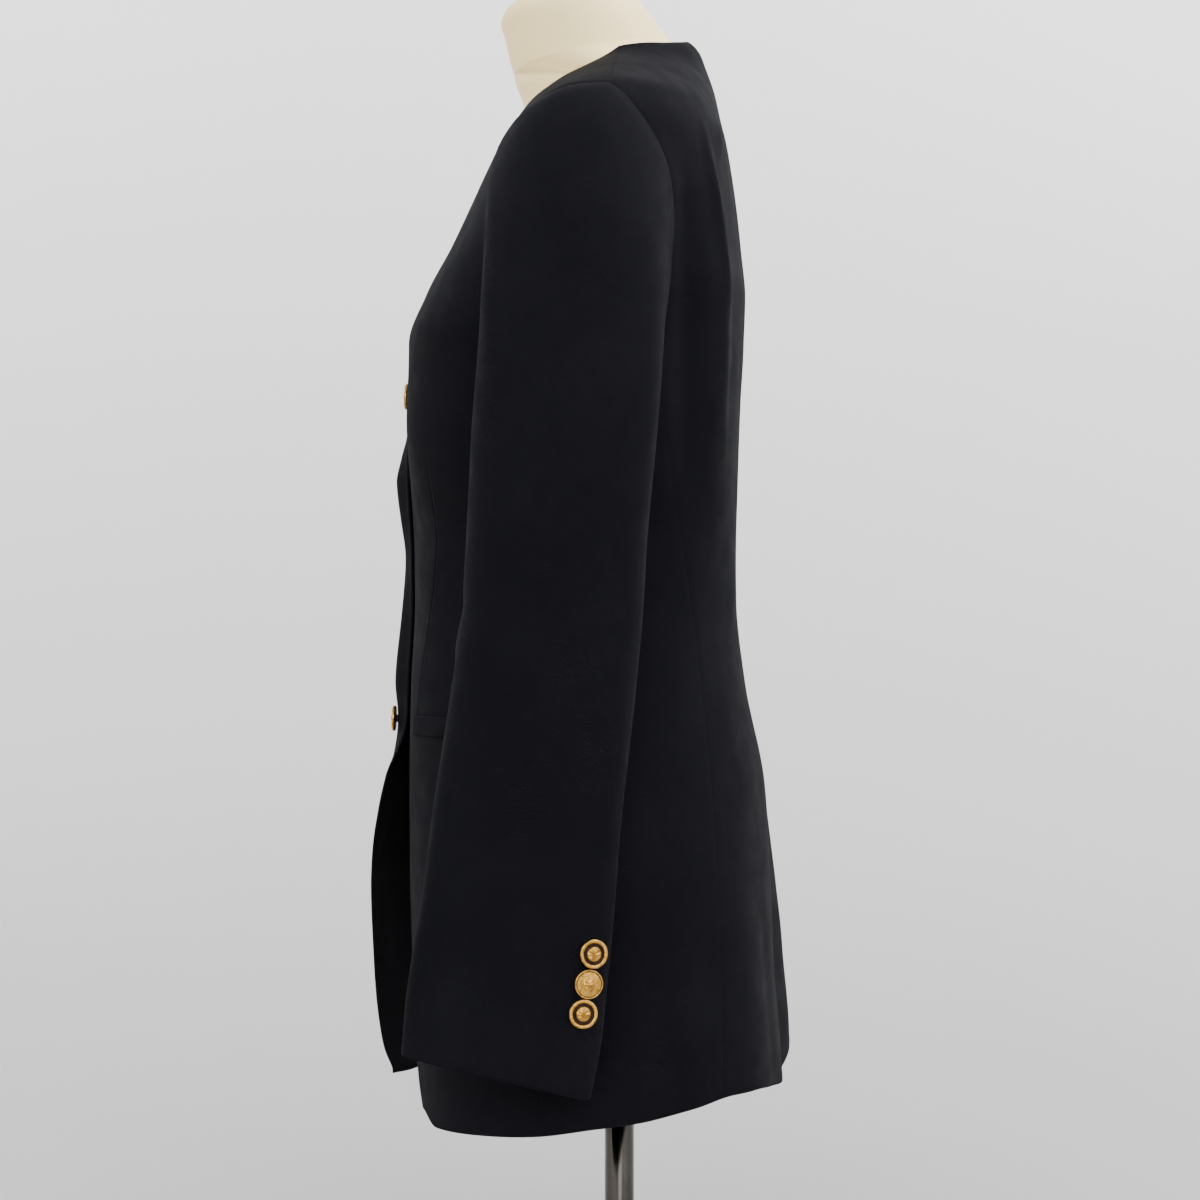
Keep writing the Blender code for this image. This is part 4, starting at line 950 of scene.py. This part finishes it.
def sleeve_plain(turn_deg, v, side=1, worn=False):
    """Sleeve's outer face: v 0 at the armhole, CAP_SHARE at the bicep, 1 at the cuff."""
    turn_deg, v = np.broadcast_arrays(np.asarray(turn_deg, float), np.asarray(v, float))
    hole = armhole(turn_deg)
    start = body(hole[..., 0], hole[..., 1], side, worn=worn) * np.array([side, 1, 1])
    end = sleeve_ring(turn_deg, np.full(turn_deg.shape, BICEP))
    down = unit(sleeve_ring(turn_deg, np.full(turn_deg.shape, BICEP - 0.01)) - end)
    fore, up, reach = (smooth(SLEEVE_HEAD, np.mod(turn_deg, 360.0001), c) for c in (1, 2, 3))
    away = unit(np.stack([np.ones_like(fore), -fore, up], axis=-1))
    chord = np.linalg.norm(end - start, axis=-1, keepdims=True)
    pull, drop = reach[..., None] * chord, 1.10 * chord
    t = np.clip(v / CAP_SHARE, 0, 1)[..., None]
    t0 = GAP / pull
    t = t0 + (1 - t0) * t
    cap = ((2 * t ** 3 - 3 * t ** 2 + 1) * start + (t ** 3 - 2 * t ** 2 + t) * pull * away
           + (3 * t ** 2 - 2 * t ** 3) * end + (t ** 3 - t ** 2) * drop * down)
    low = (np.maximum(v, CAP_SHARE) - CAP_SHARE) / (1 - CAP_SHARE)
    arm = sleeve_ring(turn_deg, BICEP + (CUFF - BICEP) * low)
    return np.where((v <= CAP_SHARE)[..., None], cap, arm)


def sleeve_skin(point, turn_deg, v):
    """Unit normals of a sleeve's face, which end at its two ends."""
    ea, ev = 0.05, 2e-4
    hi, lo = np.minimum(v + ev, 1.0), np.maximum(v - ev, 0.0)
    da = point(turn_deg + ea, v) - point(turn_deg - ea, v)
    dv = point(turn_deg, hi) - point(turn_deg, lo)
    return unit(np.cross(da, dv))


def arm_soft(turn_deg, v, side):
    """Creases, slow waves and the fullness eased into the cap."""
    out = np.zeros(np.broadcast(turn_deg, v).shape)
    for at, t0, v0, t1, v1, width, depth in ARM_CREASES:
        if at == side:
            mid = (t0 + t1) / 2
            near = np.mod(turn_deg - mid + 180.0, 360.0) - 180.0 + mid
            out = out + depth * stroke(near * ARM_DEGREE, v * ARM_LENGTH, t0 * ARM_DEGREE,
                                       v0 * ARM_LENGTH, t1 * ARM_DEGREE, v1 * ARM_LENGTH, width)
    fade = ease(v / 0.12)
    a = np.radians(turn_deg)
    phase = 0.0 if side > 0 else 1.9
    out = out + fade * (0.00035 * np.sin(2 * a + 13.0 * v + phase)
                        + 0.00025 * np.sin(3 * a - 21.0 * v + 1.3 + phase)
                        + 0.00018 * np.sin(a + 34.0 * v + 0.6 - phase))
    ease_in = np.exp(-((v - 0.030) / 0.020) ** 2) * (0.5 + 0.5 * np.cos(a)) ** 0.7
    return out + 0.0007 * ease_in + 0.00035 * np.exp(-(v / 0.010) ** 2)


def sleeve_panel(name, first, last, side):
    """Sleeve panel between two seams, from the armhole to the cuff; returns it, its
    face and normals."""
    v = np.concatenate([steps(0.155, end=False) * CAP_SHARE,
                        CAP_SHARE + steps(0.395, start=False)[1:] * (1 - CAP_SHARE)])[:, None]
    u = steps(0.165 if last - first > 180 else 0.150)[None, :]
    turn = first + (last - first) * u + np.zeros_like(v)

    def point(a, b):
        return sleeve_plain(a, b, side, worn=True)
    ends = turn[:, [0, -1]]
    width = np.linalg.norm(sleeve_plain(ends + 0.5, v) - sleeve_plain(ends - 0.5, v), axis=-1)
    turn = turn + (1 - u) * 0.6 * GAP / width[:, :1] - u * 0.6 * GAP / width[:, 1:]
    base = point(turn, v)
    out = sleeve_skin(point, turn, v)
    middle = (sleeve_ring(0.0, -0.05) + sleeve_ring(180.0, -0.05)) / 2
    row = int(len(v) * 0.8)
    if np.dot(out[row, u.size // 2], base[row, u.size // 2] - middle) < 0:
        out = -out
    flip = np.array([side, 1, 1])
    face = (base + out * arm_soft(turn, v, side)[..., None]) * flip
    ob = shell(name, face, out * flip, {"bottom": True, "start": True, "end": True})
    return ob, face, out * flip


# ---------------------------------------------------------------- sewing
SEAM_GAP = 0.0022       # widest gap that a stitch crosses
# A stitch: distances across the seam and under the cloth's face.
STITCH = [(-0.00055, 0.00075), (-0.000275, 0.00052), (0.000275, 0.00052), (0.00055, 0.00075)]


def seam_stitches(first, first_out, second, second_out, pitch=0.0026):
    """Short threads across a seam, from one edge line to the other."""
    run = arc(first, 0)
    count = int(run[-1] / pitch)
    paths = []
    for k in range(1, count):
        s = k * pitch
        a = np.array([np.interp(s, run, first[:, i]) for i in range(3)])
        n = unit(np.array([np.interp(s, run, first_out[:, i]) for i in range(3)]))
        j = int(np.argmin(np.linalg.norm(second - a, axis=1)))
        b, m = second[j], second_out[j]
        gap = np.linalg.norm(b - a)
        if gap > SEAM_GAP:
            continue
        aside = b - a if gap > 1e-6 else np.cross(n, first[min(j, len(first) - 1)] - first[0])
        across = unit(aside)
        n = unit(n + m)
        mid = (a + b) / 2
        paths.append([mid + across * w - n * sink for w, sink in STITCH])
    return paths


def buttonhole(name, centre, out, along, length):
    """Worked buttonhole: close stitches round a slit."""
    up = unit(np.cross(out, along))
    count, round_end = 46, 9        # stitches along each side and round each end
    near, size = 0.0003, 0.0015     # stitch's start from the slit, its length
    behind = 0.12                   # share of the length beyond the button's middle
    paths = []

    def stitch(middle, ray, size):
        base, far = middle + ray * near, middle + ray * (near + size)
        paths.append([base - out * 0.0001, (base + far) / 2 + out * 0.00042, far - out * 0.0001])
    for k in range(count):
        t = k / (count - 1)
        for s in (1, -1):
            uneven = 0.0001 * math.sin(17 * t)
            stitch(centre + along * (length * (t - behind)), up * s, size + uneven)
    for k in range(round_end):
        a = math.pi * (k + 0.5) / round_end
        for end, s in ((1.0 - behind, 1), (-behind, -1)):
            ray = along * s * math.sin(a) + up * math.cos(a)
            stitch(centre + along * length * end, ray, size)
    tubes(name, paths, 0.00021, 5)


def bar_tack(centre, out, along, up, length):
    """Close cross stitches over a pocket's end."""
    paths = []
    for k in range(15):
        p = centre + up * (length * (k / 14 - 0.5))
        paths.append([p - along * 0.0009, p + out * 0.0004, p + along * 0.0009])
    return paths


# ---------------------------------------------------------------- buttons
# Half sections from the shank up to the face: share of the radius, height.
SHANK = [(0.00, 0.0004), (0.25, 0.0004), (0.25, 0.0017), (0.60, 0.0018), (0.88, 0.0019),
         (0.955, 0.0021), (0.990, 0.0025), (1.00, 0.0030)]
RIM = [(0.992, 0.0035), (0.970, 0.0039), (0.940, 0.0041), (0.900, 0.0042), (0.850, 0.0042),
       (0.800, 0.0041), (0.765, 0.0039), (0.740, 0.0036), (0.725, 0.0031), (0.690, 0.0027),
       (0.640, 0.0026), (0.580, 0.0026), (0.530, 0.0027), (0.512, 0.0032), (0.500, 0.0037),
       (0.475, 0.0040), (0.420, 0.0042), (0.350, 0.0044), (0.280, 0.0046), (0.200, 0.0047),
       (0.130, 0.0048), (0.070, 0.0049), (0.0, 0.0050)]
FLAT = [(0.992, 0.0034), (0.970, 0.0037), (0.935, 0.0038), (0.900, 0.0037), (0.880, 0.0035),
        (0.840, 0.0035), (0.760, 0.0036), (0.680, 0.0037), (0.600, 0.0038), (0.520, 0.0038),
        (0.450, 0.0039), (0.420, 0.0041), (0.390, 0.0043), (0.340, 0.0044), (0.280, 0.0045),
        (0.200, 0.0046), (0.130, 0.0047), (0.070, 0.0048), (0.0, 0.0048)]


def button_relief(kind):
    """Roped rim and a plain rosette, turned about the button's middle."""
    def relief(radius, a):
        r = radius / BUTTON_RADIUS
        out = 0.0
        if kind == "rimmed":
            rope = math.sin(math.pi * min(max((r - 0.75) / 0.22, 0), 1)) if 0.75 < r < 0.97 else 0.0
            out += 0.00016 * rope * math.cos(40 * a + 14 * r)
            petal = math.sin(math.pi * min(max(r / 0.51, 0), 1)) if r < 0.51 else 0.0
            out += 0.00034 * petal * math.cos(8 * a)
            out += 0.00050 * math.exp(-(r / 0.13) ** 2)
        else:
            petal = math.sin(math.pi * min(r / 0.42, 1)) if r < 0.42 else 0.0
            out += 0.00028 * petal * math.cos(6 * a)
            rays = math.sin(math.pi * (r - 0.44) / 0.44) if 0.44 < r < 0.88 else 0.0
            out += 0.00007 * rays * math.cos(36 * a)
            out += 0.00050 * math.exp(-(r / 0.12) ** 2)
        return out
    return relief


def make_button(name, spot, out, kind):
    """Shank button, with the thread that holds it."""
    rows, dark = (RIM, range(15, 21)) if kind == "rimmed" else (FLAT, (11, 12))
    profile = [(r * BUTTON_RADIUS, z) for r, z in SHANK + rows]
    ob = turned(name + "_gilt", profile, spot, out, 160, [GOLD_MAT, DARK_MAT],
                button_relief(kind), dark)
    place(ob, "gold_metal", name)
    side = unit(np.cross(out, (0.0, 0.0, 1.0)))
    up = np.cross(side, out)
    paths = []
    for k in range(6):
        a = 2 * math.pi * k / 6 + 0.4
        ray = side * math.cos(a) + up * math.sin(a)
        paths.append([spot + ray * reach + out * height for reach, height in (
            (0.0030, 0.00005), (0.0024, 0.0006), (0.0023, 0.0012), (0.0019, 0.0016))])
    tubes(name + "_sewing", paths, 0.00028)


# ---------------------------------------------------------------- build
def declare(ob, node, face):
    """A sheet of cloth on the fixed body; its size as a flat cut is worked out but not kept."""
    place(ob, "black_cloth", node)
    flat, area = sheet_size(face)


def sheet_size(face):
    """Width, length and area of a face in metres, as its flat cut."""
    a, b, c, d = face[:-1, :-1], face[:-1, 1:], face[1:, 1:], face[1:, :-1]
    area = 0.5 * (np.linalg.norm(np.cross(b - a, c - a), axis=-1)
                  + np.linalg.norm(np.cross(c - a, d - a), axis=-1)).sum()
    width, length = (float(arc(face, axis).max()) for axis in (1, 0))
    return (width, length), float(area)


def make_cloth():
    """Panels of the body and the sleeves; returns their faces and normals by name."""
    faces = {}
    front, back, side = front_grid(), back_grid(), side_grid()
    lapped, vented = front_grid(0.005), back_grid(0.0085)
    front_sewn = {"end": True, "top": True}
    back_sewn = {"start": True, "end": back[:, -1, 1] > VENT_TOP,
                 "top": np.abs(back[-1, :, 0] - SHOULDER) < 0.01}
    side_sewn = {"start": True, "end": True, "top": True}
    plan = [
        ("front_left", front, 1, front_sewn, None, dart_groove),
        ("front_right", lapped, -1, front_sewn, lap_lift, dart_groove),
        ("back_left", back, 1, back_sewn, None, None),
        ("back_right", vented, -1, back_sewn, flare_lift, None),
        ("side_left", side, 1, side_sewn, None, None),
        ("side_right", side, -1, side_sewn, flare_lift, None),
    ]
    for name, grid, hand, sewn, lift, groove in plan:
        faced = FACING if groove else 0.0
        ob, *faces[name] = panel(name + "_cloth", grid, hand, sewn, lift, groove, faced)
        declare(ob, name, faces[name][0])
    for hand, label in ((1, "left"), (-1, "right")):
        for name, first, last in (("sleeve_top_" + label, HIND_TURN - 360.0, FORE_TURN),
                                  ("sleeve_under_" + label, FORE_TURN, HIND_TURN)):
            ob, *faces[name] = sleeve_panel(name + "_cloth", first, last, hand)
            declare(ob, name, faces[name][0])
    return faces


def make_seams(faces):
    """Thread in the sewn seams of the body and sleeves."""
    def column(name, index):
        return [part[:, index] for part in faces[name]]

    def row(name, index):
        return [part[index] for part in faces[name]]
    for label in ("left", "right"):
        front, side, back = "front_" + label, "side_" + label, "back_" + label
        top, under = "sleeve_top_" + label, "sleeve_under_" + label
        hole = [np.concatenate(lines) for lines in
                zip(column(front, -1), column(back, 0), row(side, -1))]
        seams = [(column(front, -1), column(side, 0)), (column(side, -1), column(back, 0)),
                 (column(top, 0), column(under, -1)), (column(top, -1), column(under, 0)),
                 (row(top, 0), hole), (row(under, 0), hole), (row(front, -1), row(back, -1))]
        if label == "left":
            seams.append((column("back_left", -1), column("back_right", -1)))
        paths = [path for one, two in seams for path in seam_stitches(*one, *two)]
        tubes("seam_thread_" + label, paths, 0.00014, 4)


def make_welts():
    """Welt strip over each pocket mouth, with its end tacks."""
    for hand, label in ((1, "left"), (-1, "right")):
        lift = None if hand > 0 else lap_lift

        def point(a, b):
            return body(a, b, hand, lift, worn=True)
        v = steps(WELT_TOP - WELT_BOTTOM, 0.0018)
        u = steps(WELT_LENGTH, 0.0030)
        turn = np.linspace(0.3, 1.7, 600)
        rows = []
        for h in WELT_BOTTOM + (WELT_TOP - WELT_BOTTOM) * v:
            lie = point(turn, h)
            run = arc(lie, 0)
            begin = np.interp(WELT_START, np.abs(lie[:, 0]), run)
            rows.append(pairs(np.interp(begin + WELT_LENGTH * u, run, turn), h))
        grid = np.array(rows)
        out = hand * skin(point, grid[..., 0], grid[..., 1])
        belly = np.sin(math.pi * v)[:, None, None] * WELT_BELLY
        face = point(grid[..., 0], grid[..., 1]) + out * (WELT_STANDS + belly)
        ob = shell("pocket_welt_%s_cloth" % label, face, out, thick=WELT_THICK, seam=0.0)
        declare(ob, "pocket_welt_" + label, face)
        paths = []
        mid = len(v) // 2
        for i, j in ((4, 5), (-5, -6)):
            p, n = face[mid, i], out[mid, i]
            along = unit(face[mid, j] - p)
            paths += bar_tack(p, n, along, unit(np.cross(n, along)), 0.011)
        tubes("pocket_tacks_" + label, paths, 0.00019, 5)


def make_buttons():
    """Front buttons with their buttonholes, and the cuff buttons."""
    def point(a, b):
        return body(a, b, -1, lap_lift)
    for name, h in FRONT_BUTTONS:
        turn, h = turn_at_x(-0.0001, h), np.array(h)
        out = -skin(point, turn, h)
        make_button(name, point(turn, h), out, "rimmed")
        here, aside = (body(turn + by, h, -1, lap_lift, worn=True) for by in (0.0, 0.04))
        buttonhole(name.replace("button", "buttonhole"), here + out * 0.0001, out,
                   unit(aside - here), 0.021)
    turns = np.linspace(285.0, 359.0, 2000)
    for hand, label in ((1, "left"), (-1, "right")):
        for k, (y, h, kind) in enumerate(CUFF_BUTTONS):
            v = np.full(turns.shape, 0.9)
            for _ in range(12):
                miss = sleeve_plain(turns, v)[:, 2] - WAIST - h
                v = np.clip(v + miss / (BICEP - CUFF) * (1 - CAP_SHARE), CAP_SHARE, 1.0)
            at = sleeve_plain(turns, v)
            i = int(np.argmin(np.abs(at[:, 1] - y)))
            out = sleeve_skin(sleeve_plain, turns[i:i + 1], v[i:i + 1])[0]
            out = out if out[0] > 0 else -out
            flip = np.array([hand, 1, 1])
            make_button("button_cuff_%s_%d" % (label, k + 1), (at[i] + out * 0.0002) * flip,
                        out * flip, kind)


def make_form():
    """Cover of the dress form: its rings inside the cloth, its throat and its neck."""
    count = 192
    turns = np.linspace(0, 2 * math.pi, count, endpoint=False)
    half = np.where(turns <= math.pi, turns, 2 * math.pi - turns)
    side = np.where(turns <= math.pi, 1.0, -1.0)
    rings = []

    def inner(h, inset):
        hh = np.full(count, h)
        out = body(half, hh) - inset * skin(body, half, hh)
        out[:, 0] = np.where(np.sin(half) < 1e-6, 0.0, out[:, 0]) * side
        if h > THROAT[0][0]:
            middle, wide, deep = (float(smooth(THROAT, h, c)) for c in (1, 2, 3))
            reach = np.hypot(out[:, 0] / wide, (out[:, 1] - middle) / deep)
            sharp = 14.0
            grow = (1.0 + reach ** -sharp) ** (1.0 / sharp)
            out[:, 0] *= grow
            out[:, 1] = middle + (out[:, 1] - middle) * grow
        return out
    inset = float(smooth(FORM_INSET, FORM_ROUND))
    wall = inner(FORM_ROUND, inset)
    low = inner(FORM_ROUND, inset + 0.004) * np.array([0.955, 0.955, 1.0])
    low[:, 2] = WAIST + FORM_BOTTOM
    for t in np.linspace(0, 1, 7):
        a = t * math.pi / 2
        ring = low + (wall - low) * math.sin(a)
        ring[:, 2] = low[:, 2] + (wall[:, 2] - low[:, 2]) * (1 - math.cos(a))
        rings.append(ring)
    for h in np.concatenate([np.linspace(-0.236, 0.280, 110), np.linspace(0.284, 0.360, 30)]):
        rings.append(inner(h, float(smooth(FORM_INSET, h))))
    table = [(float(i), *row) for i, row in enumerate(FORM_NECK)]
    for i in np.linspace(0, len(FORM_NECK) - 1, 46):
        y, h, wide, deep, rise = (float(smooth(table, i, c)) for c in range(1, 6))
        rise = math.radians(rise)
        rings.append(np.stack([wide * np.sin(turns), y - deep * np.cos(turns) * math.cos(rise),
                               WAIST + h - deep * np.cos(turns) * math.sin(rise)], axis=-1))
    first = np.array([0.0, -0.02, WAIST + FORM_BOTTOM])
    last = np.array([0.0, FORM_NECK[-1][0] - 0.0002, WAIST + FORM_NECK[-1][1] + 0.0005])
    rings = [[first]] + rings + [[last]]
    ob = make("dress_form_cover", np.concatenate(rings), sum(wrap(rings), []), [CREAM_MAT])
    place(ob, "cream_form", "dress_form")


def make_stand():
    """Round base and pole."""
    count = 160
    low, high, edge = 0.0343, WAIST + FORM_BOTTOM - 0.0003, 0.0006
    pole = [(0, low), (POLE_RADIUS - edge, low), (POLE_RADIUS, low + edge),
            (POLE_RADIUS, high - edge), (POLE_RADIUS - edge, high), (0, high)]
    for name, profile in (("stand_base", BASE + [(0.0, 0.034)]), ("pole", pole)):
        ob = turned(name + "_chrome", profile, (0, 0, 0), (0, 0, 1), count, [CHROME_MAT])
        place(ob, "chrome_tube", name)


def make_stage():
    """Round pale sweep, four soft lights, four washes on it and the photograph's camera."""
    radius, bend = 4.2, 1.6
    angles = [math.pi / 2 * k / 12 for k in range(12, 0, -1)]
    rows = [(radius + bend, 5.2), (radius + bend, 3.0)]
    rows += [(radius + bend * math.sin(a), bend * (1 - math.cos(a))) for a in angles]
    rows += [(radius, 0.0), (3.0, 0.0), (1.0, 0.0), (0.0, 0.0)]
    turned("sweep", rows, (0, 0, 0), (0, 0, 1), 128, [backdrop_material()])

    lights = [  # name, place, aim, size, power, colour
        ("top_soft", (-0.05, 0.55, 2.75), (0.0, 0.05, 1.1), 1.5, 40.0, (1.0, 0.985, 0.97)),
        ("back_soft", (0.2, 1.55, 2.75), (0.0, 0.1, 1.5), 0.5, 118.0, (0.98, 0.99, 1.0)),
        ("front_soft", (0.6, -1.6, 2.70), (0.0, -0.1, 1.5), 0.6, 80.0, (1.0, 0.99, 0.98)),
        ("fill_soft", (4.0, 0.3, 2.6), (0.0, 0.0, 1.1), 2.6, 80.0, (0.98, 0.99, 1.0)),
    ]
    for k, power in enumerate((225.0, 330.0, 240.0, 225.0)):    # wash on the sweep alone
        a = math.pi / 2 * k + math.pi / 4
        lights.append(("wash_%d" % k, (2.6 * math.cos(a), 2.6 * math.sin(a), 3.9),
                       (5.8 * math.cos(a), 5.8 * math.sin(a), 3.3), 2.0, power, (0.98, 0.985, 1.0)))
    for name, spot, aim, size, power, colour in lights:
        focused = name in ("back_soft", "front_soft")       # fade down the skirt
        lamp = bpy.data.lights.new(name, "SPOT" if focused else "AREA")
        lamp.energy, lamp.color = power, colour
        if focused:
            lamp.shadow_soft_size, lamp.spot_size, lamp.spot_blend = size, math.radians(44.0), 1.0
        else:
            lamp.shape, lamp.size = "DISK", size
        ob = bpy.data.objects.new(name, lamp)
        ob.location = spot
        away = np.array(spot) - np.array(aim)
        ob.rotation_euler = (math.atan2(math.hypot(away[0], away[1]), away[2]), 0,
                             math.atan2(away[1], away[0]) + math.pi / 2)
        ob.visible_camera = False
        bpy.context.scene.collection.objects.link(ob)
    world = bpy.data.worlds.new("room")
    bpy.context.scene.world = world
    world.use_nodes = True
    sky = world.node_tree.nodes["Background"].inputs
    sky["Color"].default_value = (0.93, 0.95, 1.0, 1.0)
    sky["Strength"].default_value = 0.75

    lens = bpy.data.cameras.new("view")
    lens.sensor_width, lens.lens = 36.0, 87.0
    camera = bpy.data.objects.new("view", lens)
    camera.location = (2.0, -0.0134, WAIST)
    camera.rotation_euler = (math.pi / 2, 0.0, math.pi / 2)
    bpy.context.scene.collection.objects.link(camera)
    bpy.context.scene.camera = camera


make_form()
make_seams(make_cloth())
make_welts()
make_buttons()
make_stand()
make_stage()
